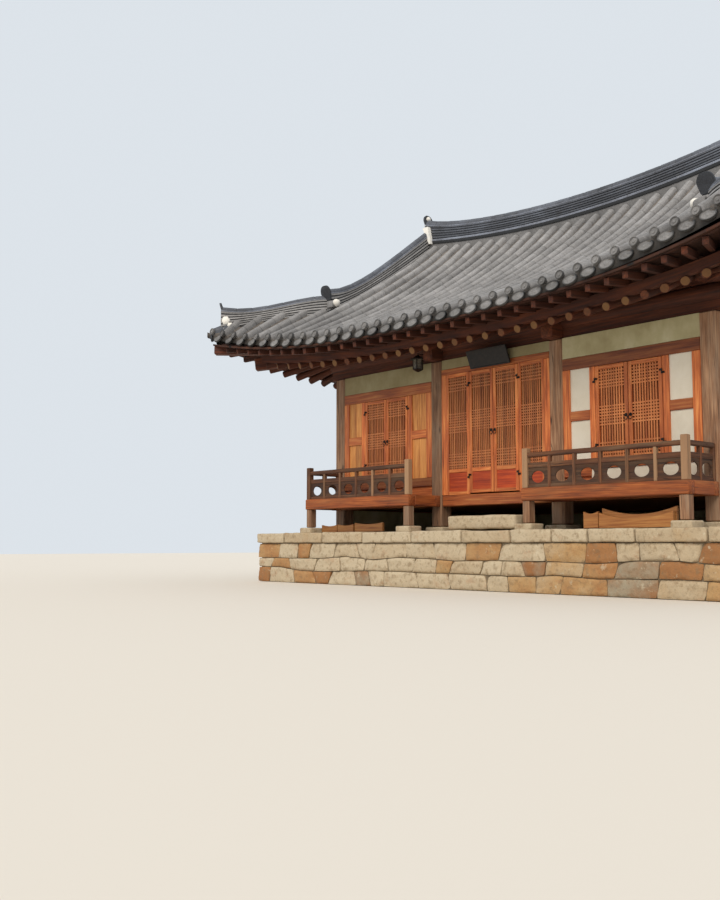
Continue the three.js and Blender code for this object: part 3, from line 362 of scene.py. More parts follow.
families = ((timberFinish, timberLooks), (plasterFinish, plasterLooks), (tileFinish, tileLooks))
finishes = {name: finish(name, look) for finish, looks in families for name, look in looks.items()}
finishes["stone"] = stoneFinish("stone", stoneLook)
finishes["iron"] = plainFinish("iron", rgb(58, 50, 44), rgb(26, 22, 20), .42, .001, .7)
finishes["lacquer"] = plainFinish("lacquer", rgb(30, 24, 20), rgb(12, 9, 8), .55, .0008)
finishes["glass"] = plainFinish("glass", rgb(112, 106, 92), rgb(70, 64, 54), .12, .0005)

# The part's material slots and the finishes of each
slots = {
    "joinery": ("joinery", "lattice", "kick", "boards", "deck"), "old_timber": ("old", "railing"),
    "roof_timber": ("roofTimber", "soffit"), "tile": ("tile", "pan", "ridgeTile"),
    "stone": ("stone", "joint"),
    "plaster": ("wall", "wallShade", "panel", "lime", "paper", "greyPaper"),
    "board": ("iron", "lacquer", "glass"),
}
slotOf = {finish: slot for slot, names in slots.items() for finish in names}
print("finishes made")


# Shapes as arrays


def distances(path):
    # How far each point of a path lies from its start, along it
    steps = np.linalg.norm(np.diff(path, axis=0), axis=1)
    return np.concatenate([[0], np.cumsum(steps)])


def joined(*axes):
    # Arrays side by side on a last axis of their own, as coordinates
    return np.stack(np.broadcast_arrays(*axes), -1)


def link(piece):
    bpy.context.scene.collection.objects.link(piece)


class Parts:
    # Closed shapes gathered as arrays, then made one mesh.
    # "grain" is where a point lies in its own timber or stone, "tone" shades each shape
    def __init__(self):
        self.points, self.faces, self.grain, self.tone = [], [], [], []
        self.total = 0

    def add(self, points, faces, grain=None, tone=0.):
        self.points.append(points)
        self.faces += [face + self.total for face in faces]
        self.grain.append(points if grain is None else grain)
        self.tone.append(np.broadcast_to(tone, len(points)))
        self.total += len(points)

    def tube(self, rings, grain=None, tone=0., closed=False):
        points, faces = sweep(rings, closed)
        self.add(points, faces, grain if grain is None else grain.reshape(-1, 3), tone)

    def make(self, name, finish, body="house", replaces=(), sharp=40, weld=False):
        mesh = bpy.data.meshes.new(name)
        points = np.concatenate(self.points)
        mesh.vertices.add(len(points))
        mesh.vertices.foreach_set("co", points.ravel())
        sizes = np.concatenate([np.full(len(face), face.shape[1]) for face in self.faces])
        loops = np.concatenate([face.ravel() for face in self.faces])
        mesh.loops.add(len(loops))
        mesh.loops.foreach_set("vertex_index", loops)
        mesh.polygons.add(len(sizes))
        mesh.polygons.foreach_set("loop_start", np.cumsum(sizes) - sizes)
        mesh.polygons.foreach_set("use_smooth", np.ones(len(sizes), bool))
        mesh.update(calc_edges=True)
        grain = mesh.attributes.new("grain", "FLOAT_VECTOR", "POINT")
        grain.data.foreach_set("vector", np.concatenate(self.grain).ravel())
        tone = mesh.attributes.new("tone", "FLOAT", "POINT")
        tone.data.foreach_set("value", np.concatenate(self.tone))
        if weld:
            weldMesh(mesh)
        mesh.set_sharp_from_angle(angle=math.radians(sharp))
        mesh.materials.append(finishes[finish])
        piece = bpy.data.objects.new(name, mesh)
        link(piece)
        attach(piece, body)
        if replaces:
            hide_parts(*replaces)
        return piece


def weldMesh(mesh):
    # Merges points that a clipped grid has brought together and drops the empty faces
    work = bmesh.new()
    work.from_mesh(mesh)
    bmesh.ops.remove_doubles(work, verts=work.verts, dist=.0002)
    bmesh.ops.dissolve_degenerate(work, edges=work.edges, dist=.0002)
    bmesh.ops.delete(work, geom=[v for v in work.verts if not v.link_faces], context="VERTS")
    work.to_mesh(mesh)
    work.free()
    mesh.polygons.foreach_set("use_smooth", np.ones(len(mesh.polygons), bool))


def outward(points, faces):
    # Turns a closed shape whose signed volume, the sum of a . (b x c) / 6 over its triangles, is below zero
    volume = 0
    for face in faces:
        first = points[face[:, :1]]
        volume += (first * np.cross(points[face[:, 1:-1]], points[face[:, 2:]])).sum()
    return faces if volume > 0 else [face[:, ::-1] for face in faces]


def sweep(rings, closed=False):
    # A tube: each ring joins the next by quads. Flat faces close its ends, or the last ring joins the first
    rows, sides = rings.shape[:2]
    index = np.arange(rows * sides).reshape(rows, sides)
    low, high = (index, np.roll(index, -1, 0)) if closed else (index[:-1], index[1:])
    quads = joined(low, np.roll(low, -1, 1), np.roll(high, -1, 1), high).reshape(-1, 4)
    points = rings.reshape(-1, 3)
    ends = [] if closed else [np.stack([index[0][::-1], index[-1]])]
    return points, outward(points, [quads] + ends)


def gridQuads(rows, columns):
    index = np.arange(rows * columns).reshape(rows, columns)
    return joined(index[:-1, :-1], index[:-1, 1:], index[1:, 1:], index[1:, :-1])


def shell(top, bottom, keep=None):
    # A closed shell between two sheets of one grid, with a wall along every open edge
    rows, columns = top.shape[:2]
    quads = gridQuads(rows, columns)
    quads = quads[keep] if keep is not None else quads.reshape(-1, 4)
    edges = np.concatenate([quads[:, [i, (i + 1) % 4]] for i in range(4)])
    same, counts = np.unique(np.sort(edges, 1), axis=0, return_inverse=True, return_counts=True)[1:]
    rim = edges[counts[same.ravel()] == 1]
    under = rows * columns
    walls = joined(rim[:, 1], rim[:, 0], rim[:, 0] + under, rim[:, 1] + under)
    points = np.concatenate([top.reshape(-1, 3), bottom.reshape(-1, 3)])
    return points, outward(points, [quads, quads[:, ::-1] + under, walls])


def unit(vector):
    return vector / np.linalg.norm(vector, axis=-1, keepdims=True)


def at(side, along, out, z):
    # A point or a direction of the house seen from one side: along it to the right, out from the middle, up.
    # Side 0 is the front, then 1 right, 2 back, 3 left
    along, out = np.asarray(along, float), np.asarray(out, float)
    return joined(*[(along, -out), (out, along), (-along, out), (-out, -along)][side], z)


def ripple(points, size, seed, waves=7):
    # Smooth noise of about -1 to 1: the mean of sines along random directions, their wavelengths near size
    source = np.random.default_rng(seed)
    ways = source.normal(size=(waves, 3)) * 3.7 / size
    starts = source.uniform(0, 2 * np.pi, waves)
    return np.sin(points @ ways.T + starts).mean(-1) * 1.7


def circle(radius, sides):
    angle = np.arange(sides) / sides * 2 * np.pi
    return radius * joined(np.cos(angle), np.sin(angle))


def measured(start, end):
    # A line's start, length and direction
    start, end = np.asarray(start, float), np.asarray(end, float)
    length = np.linalg.norm(end - start)
    return start, length, (end - start) / length


def timberAlong(parts, start, along, side, stations, sections, tone, vary, cutEnd):
    # Sections (side, top) at stations along a timber. Its grain starts at a random place of the wood
    rings = start + stations[:, None, None] * along + sections[..., :1] * side
    rings = rings + sections[..., 1:] * np.cross(side, along)
    lengths = np.broadcast_to(stations[:, None, None], sections[..., :1].shape)
    grain = np.concatenate([lengths, sections], -1) + rng.uniform(0, 40, 3)
    tones = np.full(rings.shape[:2], tone + rng.uniform(-vary, vary))
    if cutEnd:
        tones[[0, -1]] = cutEnd
    parts.tube(rings, grain, tones.ravel())


def bar(parts, start, end, width, height, up=(0, 0, 1), bevel=.006, tone=0., cutEnd=0., cuts=1, vary=.5):
    # A squared timber: an eight-sided section, the rectangle less its edges, drawn in once at both ends
    start, length, along = measured(start, end)
    w, h, c = width / 2, height / 2, min(bevel, width / 4, height / 4)
    section = np.array([(w, h - c), (w - c, h), (c - w, h), (-w, h - c),
                        (-w, c - h), (c - w, -h), (w - c, -h), (w, c - h)])
    drawnIn = np.sign(section) * (np.abs(section) - c)
    stations = np.concatenate([[0], np.linspace(c, length - c, cuts + 1), [length]])
    sections = np.stack([drawnIn] + [section] * (cuts + 1) + [drawnIn])
    timberAlong(parts, start, along, unit(np.cross(along, up)), stations, sections, tone, vary, cutEnd)


def beam(parts, side, along, out, z, **more):
    # A squared timber between two values on each axis, its grain along the longest one
    low, high = np.array([along, out, z], float).T
    size = high - low
    axis = int(size.argmax())
    middle = (low + high) / 2
    start, end = middle.copy(), middle.copy()
    start[axis], end[axis] = low[axis], high[axis]
    upright = axis == 2
    up = at(side, 0, 1, 0) if upright else (0, 0, 1)
    width = size[0] if upright or axis == 1 else size[1]
    height = size[1] if upright else size[2]
    bar(parts, at(side, *start), at(side, *end), width, height, up, **more)


def pole(parts, start, end, radius, sides=14, tone=0., cutEnd=0.):
    # A round timber: circles along a line, drawn in a little at both ends
    start, length, along = measured(start, end)
    side = unit(np.cross(along, (0, 0, 1) if abs(along[2]) < .9 else (0, 1, 0)))
    edge = min(.008, radius / 3)
    stations = np.array([0, edge, length - edge, length])
    radii = radius * np.array([1 - edge / radius, 1, 1, 1 - edge / radius])
    sections = radii[:, None, None] * circle(1, sides)
    timberAlong(parts, start, along, side, stations, sections, tone, .5, cutEnd)


def loft(parts, lines, order, tone=0., vary=0.):
    # A piece between lines that run side by side. Its grain takes the three axes in this order
    points, faces = sweep(np.stack([joined(*line) for line in lines], 1))
    grain = points[:, order] + rng.uniform(0, 20, 3)
    parts.add(points, faces, grain, tone + rng.uniform(-vary, vary) if vary else tone)


def around(middle, half):
    return middle - half, middle + half


def mirrored(sign, near, far, middle=0):
    # Two distances to one side of a middle, as values from low to high
    return sorted((middle + sign * near, middle + sign * far))


def uneven(parts, rings, rough, size, seed):
    # Lime laid by hand: a tube with a wavy skin
    points, faces = sweep(rings)
    parts.add(points + rough * ripple(points, size, seed)[:, None], faces)


def ball(parts, centre, radius, flat=1.):
    # A lump of lime, a sphere as circles of radius sin(turn), pressed along its axis
    turn = np.linspace(.12, np.pi - .12, 8)[:, None]
    u, v = circle(1, 12).T
    rings = joined(np.sin(turn) * u, np.sin(turn) * v, flat * np.cos(turn))
    uneven(parts, np.asarray(centre) + radius * rings, .006, .07, 5)


def ringHandle(parts, centre, radius, thick):
    # A hoop whose section, a small circle, turns about a bigger one
    turn = np.arange(20)[:, None] / 20 * 2 * np.pi
    angle = np.arange(8) / 8 * 2 * np.pi
    reach = radius + thick * np.cos(angle)
    rings = joined(reach * np.cos(turn), thick * np.sin(angle), reach * np.sin(turn))
    parts.tube(rings + np.asarray(centre), closed=True)


def plates(parts, outline, centres, across, up, thick, tone=0., rim=.8, sunk=.3, dark=0., boss=0.):
    # Flat pieces with a raised rim: outline (u, v) on each centre's across and up,
    # the rings run from the back edge over the front edge to the rim, down into the field and up a boss
    centres, across, up = [np.atleast_2d(v).astype(float) for v in (centres, across, up)]
    facing = np.cross(across, up)
    outline = np.asarray(outline, float)
    middle = outline.mean(0)
    scales = np.array([1, 1, rim, rim * .92] + [boss, boss * .75] * bool(boss))
    depths = np.array([-.5, .5, .5, .5 - sunk] + [.5 - sunk, .45] * bool(boss)) * thick
    flat = middle + (outline - middle) * scales[:, None, None]
    rings = (centres[:, None, None] + flat[None, ..., :1] * across[:, None, None]
             + flat[None, ..., 1:] * up[:, None, None]
             + depths[None, :, None, None] * facing[:, None, None])
    # Painted shade: dark darkens the back and front edges and, less, the rim
    paintedEdgeShade = np.array([dark, dark, dark * .6, 0, 0, 0])[:len(scales)]
    for one in rings:
        parts.tube(one, tone=np.repeat(paintedEdgeShade + tone + rng.uniform(-.3, .3), one.shape[1]))


# Roof curves. Each eave level is a line around the house that swings out and up towards the corners


levels = {
    "rafter": {"out": .945, "corner": 1.15, "z": 3.63, "rise": .25},
    "flyer": {"out": 1.315, "corner": 1.68, "z": 3.8, "rise": .4},
    "tile": {"out": 1.395, "corner": 1.8, "z": 3.98, "rise": .5},
}
roof = {
    "apex": 6.2, "ridgeRise": .35, "gable": 3.86, "hollow": .06, "gableHollow": .0245, "straightFrom": 2.4,
    "swell": .2, "climb": .1, "climbPower": 6, "bed": .1, "bedGrowth": .12,
    "skirt": 3.912, "skirtMiddle": 4.5, "ridgeHalf": .15, "boardAtPlate": 4.1212, "hipBoard": 4.235,
}
diagonal = house["halfX"] - house["halfY"]  # the hips lie where |x| - |y| has this value
cornerX = house["halfX"] + levels["tile"]["corner"]
hipTopY = roof["gable"] - diagonal


sideNames = "front", "right", "back", "left"


def halves(side):
    sizes = house["halfX"], house["halfY"]
    return sizes if side % 2 == 0 else sizes[::-1]


def eaveLine(level, side, along):
    # Out by the 2.4th power of the share of the way to the corner, up by its cube
    halfAlong, halfAcross = halves(side)
    share = np.minimum(1, np.abs(along) / (halfAlong + level["corner"]))
    out = halfAcross + level["out"] + (level["corner"] - level["out"]) * share ** 2.4
    return out, level["z"] + level["rise"] * share ** 3


def sagging(low, high, distance, run, hollow=roof["hollow"]):
    # A straight line from low to high less a parabola that hangs below it
    return low + (high - low) * distance / run - hollow * distance * (run - distance)


def hollowAt(x):
    # The slopes straighten towards the gables, by a smooth step
    share = np.clip((np.abs(x) - roof["straightFrom"]) / (roof["gable"] - roof["straightFrom"]), 0, 1)
    return roof["hollow"] + (roof["gableHollow"] - roof["hollow"]) * share ** 2 * (3 - 2 * share)


def ridgeBase(x):
    return roof["apex"] + roof["ridgeRise"] * (x / roof["gable"]) ** 2


def upperSlope(x, out):
    edge, low = eaveLine(levels["tile"], 0, x)
    return sagging(low, ridgeBase(x), edge - out, edge, hollowAt(x))


hipTop = upperSlope(roof["gable"], hipTopY)


def hipHeight(x):
    # A straight line from the corner to the gable's foot, swollen in the middle and quick to climb at first
    share = (cornerX - x) / (cornerX - roof["gable"])
    low = levels["tile"]["z"] + levels["tile"]["rise"]
    climb = 1 - np.abs(1 - share) ** roof["climbPower"] - share
    return low + (hipTop - low) * share + roof["swell"] * share * (1 - share) + roof["climb"] * climb


def skirtTop(y):
    share = np.abs(y) / (roof["skirt"] - diagonal)
    return roof["skirtMiddle"] + (hipHeight(roof["skirt"]) - roof["skirtMiddle"]) * share ** 2.5


def slopeHeight(side, along, out):
    # Height of the tiles on one side of the roof
    reach = np.abs(along)
    edge, low = eaveLine(levels["tile"], side, reach)
    if side % 2 == 0:
        run = np.maximum(edge - (reach - diagonal), .001)
        wing = sagging(low, hipHeight(reach), edge - out, run, roof["gableHollow"])
        return np.where(reach <= roof["gable"], upperSlope(reach, out), wing)
    flank = roof["skirt"] - diagonal
    run = np.maximum(edge - np.maximum(roof["skirt"], reach + diagonal), .001)
    high = np.where(reach > flank, hipHeight(reach + diagonal), skirtTop(np.minimum(reach, flank)))
    return sagging(low, high, edge - out, run)


def slopeInner(side, along):
    # How far in a slope runs: to the ridge or the gable, and beyond that to the hip
    reach = np.abs(along)
    if side % 2 == 0:
        return np.where(reach <= roof["gable"], roof["ridgeHalf"], reach - diagonal)
    return np.maximum(roof["skirt"], reach + diagonal)


def strips(side):
    # The three stretches of one slope: the middle, and a wing along each hip
    end = halves(side)[0] + levels["tile"]["corner"]
    turn = roof["gable"] if side % 2 == 0 else roof["skirt"] - diagonal
    return [(-end + .004, -turn - .0005), (-turn, turn), (turn + .0005, end - .004)]


# Roof tiles


tiles = {
    "rows": (18.5, 14.5),  # pitches from the middle to a corner, on the long and the short sides
    "rollRadius": .07,
    "rollLength": .3,
    "panDepth": .045,
    "panCourse": .155,  # each pan's visible length in plan
    "panLip": .016,
    "panTone": .12,  # pans differ by this much to either side
    "bedTone": -1.8,
    "base": .02,  # where pans meet rolls, from the roof surface
    "lift": .062,  # the front eave stands this much higher in its right half
    "liftFrom": (2, 3.8),
    "liftTo": (4.3, 5.2),
    "liftDeep": 2.2,
    "ridgeLift": .04,  # the tiles lie higher where they meet the main ridge
    "ridgeLiftOut": (.12, .7),
    "shortest": .16,
}


def rowPitch(side):
    return (halves(side)[0] + levels["tile"]["corner"]) / tiles["rows"][side % 2]


def smooth(value, first, last):
    share = np.clip((value - first) / (last - first), 0, 1)
    return share ** 2 * (3 - 2 * share)


def tileBase(side, along, out):
    # The roof surface, thicker at the main ridge. The front eave swells in its right half
    base = slopeHeight(side, along, out) + tiles["base"]
    if side % 2 == 0:
        base = base + tiles["ridgeLift"] * (1 - smooth(out, *tiles["ridgeLiftOut"]))
    if side:
        return base
    edge = eaveLine(levels["tile"], side, along)[0]
    swelling = smooth(along, *tiles["liftFrom"]) * (1 - smooth(along, *tiles["liftTo"]))
    return base + tiles["lift"] * swelling * (1 - smooth(edge - out, 0, tiles["liftDeep"]))


def roofPans(side, name, node):
    # Overlapping courses from the eave up: each has a lip at its foot and ends under the next.
    # Troughs, parabolas of one pitch, hang below the height at which the rolls lie
    parts = Parts()
    pitch = rowPitch(side)
    length = tiles["panCourse"]
    for first, last in strips(side):
        step = pitch / 6
        inner = np.arange(math.ceil(first / step + .01), math.floor(last / step - .01) + 1) * step
        along = np.concatenate([[first], inner, [last]])
        edge = eaveLine(levels["tile"], side, along)[0] - .03
        run = edge - slopeInner(side, along)
        starts = np.arange(math.ceil(run.max() / length)) * length
        rows = joined(starts, starts + length - .004).ravel()
        lips = np.tile([tiles["panLip"], 0], len(starts))
        distance = np.minimum(rows[:, None], np.maximum(run, 0)[None])
        out = edge - distance
        spread = np.broadcast_to(along, out.shape)
        hanging = -tiles["panDepth"] * (1 - (2 * ((spread / pitch) % 1) - 1) ** 2)
        surface = tileBase(side, spread, out) + hanging + lips[:, None]
        bed = slopeHeight(side, spread, out) - roof["bed"] - roof["bedGrowth"] * (distance + .03)
        moved = distance[1:] - distance[:-1] > 1e-6
        bottom = np.minimum(bed, surface - .02)
        points, faces = shell(at(side, spread, out, surface), at(side, spread, out, bottom),
                              moved[:, 1:] | moved[:, :-1])
        trough = np.floor(spread / pitch)
        grain = joined(distance, spread, trough).reshape(-1, 3)
        mixed = np.sin(np.floor(distance / length + .01) * 12.9 + trough * 78.2)
        # Random tone per tile, and painted shade that darkens the pans over the 2 m above the eave, where
        # the flatter slope takes more sky light
        tone = mixed * tiles["panTone"] - .5 * (1 - smooth(distance, 0, 2))
        tones = np.concatenate([tone.ravel(), np.full(tone.size, tiles["bedTone"])])
        parts.add(points, faces, np.concatenate([grain, grain]), tones)
    parts.make(name, "pan", replaces=[node], weld=True)


def rollRow(parts, path, across, radius, tileLength, tone, joint=-.5):
    # Half-round tiles end to end: each section is a half circle on a short skirt, narrow at the dark joints
    run = distances(path)
    count = max(1, round(run[-1] / tileLength))
    pitch = run[-1] / count
    offsets = np.array([0, .012, pitch - .02, pitch - .005])
    shares = np.array([.93, 1, .98, .91])
    stations = (np.arange(count)[:, None] * pitch + offsets).ravel()
    radii = radius * np.tile(shares, count)
    centre = joined(*[np.interp(stations, run, path[:, i]) for i in range(3)])
    tangents = np.gradient(path, run, axis=0)
    tangent = unit(joined(*[np.interp(stations, run, tangents[:, i]) for i in range(3)]))
    lateral = np.broadcast_to(np.asarray(across, float), centre.shape)
    normal = np.cross(lateral, tangent)
    normal *= np.sign(normal[:, 2:])
    angle = np.linspace(0, np.pi, 9)
    u = np.concatenate([np.cos(angle), [-.95, .95]])
    v = np.concatenate([np.sin(angle), [-.6, -.6]])
    section = u[:, None] * lateral[:, None] + v[:, None] * normal[:, None]
    rings = centre[:, None] + radii[:, None, None] * section
    shade = (rng.uniform(-.2, .2, count)[:, None] + np.array([joint, 0, 0, joint])).ravel()
    shade = np.repeat(shade + np.interp(stations, run, np.broadcast_to(tone, len(run))), len(u))
    grain = joined(stations[:, None], radius * u * 2, rng.uniform(0, 30))
    parts.tube(rings, grain, shade)


def roofRows(side):
    # Each row of rolls: its place along the eave, where it starts and where it ends
    pitch = rowPitch(side)
    count = math.floor(tiles["rows"][side % 2])
    for number in range(-count, count + 1):
        along = number * pitch
        outer = float(eaveLine(levels["tile"], side, along)[0])
        inner = float(slopeInner(side, along))
        reach = abs(along)
        if side % 2 == 0 and abs(reach - roof["gable"] + .1) < .14:
            inner = hipTopY + .04  # this row ends at the foot of the gable's ridge
        elif reach > (roof["skirt"] - diagonal if side % 2 else roof["gable"]):
            inner -= .02
        elif side % 2 == 0:
            inner -= .03
        yield along, outer, min(inner, outer - .06)


def roofRolls(side, name):
    parts = Parts()
    limit = halves(side)[1] + levels["tile"]["corner"] - .05
    for along, outer, inner in roofRows(side):
        if outer - inner < tiles["shortest"]:
            continue
        out = np.linspace(min(outer - .02, limit), inner, 24)
        path = at(side, along, out, tileBase(side, np.full(24, along), out))
        length = tiles["rollLength"] * rng.uniform(.9, 1.15)
        # Painted shade: the rolls are darkened over the 1.8 m above the eave, where the flatter slope takes
        # more sky light
        shade = -.45 * (1 - smooth(outer - out, 0, 1.8))
        rollRow(parts, path, at(side, 1, 0, 0), tiles["rollRadius"], length, shade)
    parts.make(name, "tile")


# dark is painted shade on the edges of the discs and the drips, darkest on the drips
eaveEnds = {
    "disc": {"half": .06, "high": .062, "thick": .04, "lean": .2, "out": .014, "up": .028,
             "tone": -.6, "dark": -.7},
    "drip": {"half": .112, "high": .08, "thick": .028, "lean": .42, "out": -.014, "up": -.073,
             "tone": -.65, "dark": -1.2},
    "cornerKeep": .004,
}


def eaveRow(parts, side, along, outer, look):
    # Ovals along the eave that lean back a little, kept inside the corner's reach
    up = at(side, 0, -math.sin(look["lean"]), math.cos(look["lean"]))
    reach = math.sin(look["lean"]) * look["high"] + look["thick"] / 2
    limit = halves(side)[1] + levels["tile"]["corner"] - reach - eaveEnds["cornerKeep"]
    z = tileBase(side, along, outer - .02) + look["up"]
    places = at(side, along, np.minimum(outer + look["out"], limit), z)
    outline = circle(1, 16) * [look["half"], look["high"]]
    plates(parts, outline, places, at(side, 1, 0, 0), up, look["thick"], look["tone"], rim=.84,
           dark=look["dark"], boss=.4)


def roofEaveEnds(side, name):
    # A disc closes each roll, and an oval lip hangs from the lowest pan between two rolls
    parts = Parts()
    rows = np.array([(along, outer) for along, outer, _ in roofRows(side)])
    eaveRow(parts, side, rows[:, 0], rows[:, 1], eaveEnds["disc"])
    between = (rows[1:, 0] + rows[:-1, 0]) / 2
    eaveRow(parts, side, between, eaveLine(levels["tile"], side, between)[0], eaveEnds["drip"])
    parts.make(name, "tile")


for side, name in enumerate(sideNames):
    roofPans(side, name + "_roof_pan_tiles", name + "_roof_slope")
    roofRolls(side, name + "_roof_roll_tiles")
    roofEaveEnds(side, name + "_roof_eave_tiles")
print("roof tiles laid")


# Ridges: stacked courses of flat tiles, a lime line and a roll of half-round tiles on top


# The pale band's tone is a painted highlight
ridgeLook = {
    "groove": .4, "grooveWide": .9, "pale": .017, "paleWide": .97, "paleTone": 1.8, "lineWide": 1.16,
    "bandWide": 1.12, "bandHighlightTone": 1.8, "capRadius": .88, "bury": .15,
}
# The dark line's tone is painted shadow; the grooves' tone is dark mortar and painted shade
upperRidge = {
    "half": .115, "height": .5, "tipLift": .085, "foot": .075, "footWide": 1.08, "footTone": -.8,
    "line": .055, "shadowLineTone": -1.8, "band": .04, "slabs": 5, "grooveShadeTone": -1.1, "slabTone": (-.5, 0),
}
# The dark line's tone is painted shadow; the grooves' tone is dark mortar and painted shade
cornerRidge = {
    "half": .085, "height": .31, "topLift": .08, "sag": .45, "tipLift": .1, "foot": -.1, "footWide": 1.06,
    "footTone": -.2, "line": .012, "shadowLineTone": -1.5, "band": 0, "slabs": 6, "grooveShadeTone": -1.6,
    "slabTone": (-.6, .25), "hipHeight": .3, "hipTipLift": .085, "hipSag": .71,
}


def course(parts, line, low, high, tone, wide=1):
    # A flat course along a line of points, way across and half width: a section with rounded upper corners
    base, across, half = line
    half = half * wide
    height = high - low
    u = np.array([1, 1, .93, -.93, -1, -1])
    v = np.array([0, .72, 1, 1, .72, 0])
    rings = base[:, None] + half * u[:, None] * np.asarray(across)
    rings = rings + (low[:, None] + v * height[:, None])[..., None] * np.array([0, 0, 1])
    grain = joined(distances(base)[:, None], half * u, v * .05)
    parts.tube(rings, grain + rng.uniform(0, 20, 3), tone)


def ridgeStack(parts, feet, slabParts, base, across, height, look):
    # A foot, a dark line that is painted shadow, a pale band that is painted highlight, thin slabs with
    # grooves between them darkened as dark mortar and painted shade, a pale line and a round cap
    common = ridgeLook
    line = base, across, look["half"]
    radius = look["half"] * common["capRadius"]
    low = np.full(len(base), float(look["foot"]))
    course(feet, line, 0 * low - common["bury"], low, look["footTone"], look["footWide"])
    # Painted shadow: this line stands out wider than the slabs and is darkened
    course(parts, line, low, low + look["line"], look["shadowLineTone"], common["lineWide"])
    low = low + look["line"]
    if look["band"]:
        # Painted highlight: the band is lightened as if catching the light
        course(parts, line, low, low + look["band"], common["bandHighlightTone"], common["bandWide"])
        low = low + look["band"]
    step = (height - radius - common["pale"] - low) / look["slabs"]
    for _ in range(look["slabs"]):
        seam = low + step * common["groove"]
        # The grooves: dark mortar and painted shade in the recess
        course(parts, line, low, seam, look["grooveShadeTone"], common["grooveWide"])
        course(slabParts, line, seam, low + step, rng.uniform(*look["slabTone"]))
        low = low + step
    course(parts, line, low, height - radius + .004, common["paleTone"], common["paleWide"])
    cap = base + (height - radius)[:, None] * np.array([0, 0, 1])
    rollRow(parts, cap, across, radius, tiles["rollLength"], -.1)


def arch(half, foot, rise):
    # A slab outline: straight sides, then two arcs that meet in a point
    turn = np.linspace(0, 1, 9)
    right = joined(half * np.cos(turn * np.pi / 2) ** .75, rise * np.sin(turn * np.pi / 2) ** 1.15)
    left = right[-2::-1] * [-1, 1]
    return np.concatenate([[(half * .72, -foot)], right, left, [(-half * .72, -foot)]])


endTile = {"half": .085, "foot": .14, "rise": .13, "thick": .034, "lean": .31}


def standingEnd(parts, place, facing, lean, size=1.):
    # An end tile stands on a ridge's tip and leans out over it
    facing = unit(np.array([*facing, 0.]))
    up = math.cos(lean) * np.array([0, 0, 1.]) + math.sin(lean) * facing
    across = np.cross(up, facing)
    outline = arch(endTile["half"] * size, endTile["foot"], endTile["rise"])
    plates(parts, outline, place, -across, up, endTile["thick"], -1.1, rim=.74, sunk=.5)


mainEnd = {
    "short": .045, "tileOut": .012, "tileDown": .022, "lean": .2, "size": 1.45, "ball": .05, "ballUp": .03,
    "seat": ((.03, .42), (.03, .28), (.02, .12)), "seatWide": (.035, .045, .04), "seatIn": .006,
}


def mainRidge(feet, lime):
    # At each end stand a tile with a lump of lime on it and a lime seat below
    parts, look = Parts(), mainEnd
    half = corners("main_ridge")[1][0] - look["short"]
    x = np.linspace(-half, half, 61)
    base = joined(x, 0, ridgeBase(x))
    height = upperRidge["height"] + upperRidge["tipLift"] * np.abs(x / half) ** 6
    ridgeStack(parts, feet, parts, base, (0, 1, 0), height, upperRidge)
    top = ridgeBase(half) + height[0]
    for sign in (-1, 1):
        x = sign * (half + look["tileOut"])
        standingEnd(parts, (x, 0, top - look["tileDown"]), (sign, 0), look["lean"], look["size"])
        ball(lime, (x, 0, top + look["ballUp"]), look["ball"])
        seat = np.array([(sign * (half - near), 0, top - down) for near, down in look["seat"]])
        limeSeat(lime, seat, look["seatWide"], upperRidge["half"] - look["seatIn"])
        for face in (-1, 1):
            limeStrip(lime, sign, face, half, top)
    parts.make("main_ridge_tiles", "ridgeTile", replaces=["main_ridge"])


limeJoint = {"in": .085, "slant": .12, "wide": (.066, .024), "below": (.2, .56), "proud": .075, "sunk": .03}


def limeStrip(lime, sign, face, half, top):
    # A slanting lime joint on one face of the ridge: sections that shrink towards its foot
    look = limeJoint
    share = np.linspace(0, 1, 7)
    middle = half - look["in"] - look["slant"] * share
    wide = np.interp(share, (0, 1), look["wide"])
    z = top - np.interp(share, (0, 1), look["below"])
    y = face * (upperRidge["half"] + np.array([-look["sunk"], look["proud"]]))
    section = ((-1, 0), (-1, 1), (1, 1), (1, 0))
    rings = np.stack([joined(sign * (middle + wide * a), y[b], z) for a, b in section], 1)
    uneven(lime, rings, .005, .12, 4)


def limeSeat(lime, line, alongHalf, acrossHalf):
    # Lime that wraps a ridge's end: rounded sections up a line
    u, v = circle(1, 16).T
    u, v = np.sign(u) * np.abs(u) ** .5, np.sign(v) * np.abs(v) ** .5
    reach = np.asarray(alongHalf)[:, None]
    uneven(lime, joined(reach * u, acrossHalf * v, 0) + line[:, None], .008, .12, 9)


def cornerRidges(feet, lime):
    for xSign, xName in ((-1, "left"), (1, "right")):
        for ySign, yName in ((-1, "front"), (1, "back")):
            parts = Parts()
            node = f"{yName}_{xName}_ridge"
            flip = np.array([xSign, ySign, 1])
            descendingRidge(parts, feet, lime, flip)
            hipRidge(parts, feet, lime, flip)
            parts.make(node + "_tiles", "ridgeTile", replaces=[node])


gableEnd = {"in": .1, "tileOut": .035, "tileDown": .075, "size": 1.55, "ball": .07, "ballUp": .03,
            "stub": ((-.02, -.04, -.31), (-.2, -.04, -.315)), "stubRadius": .082}


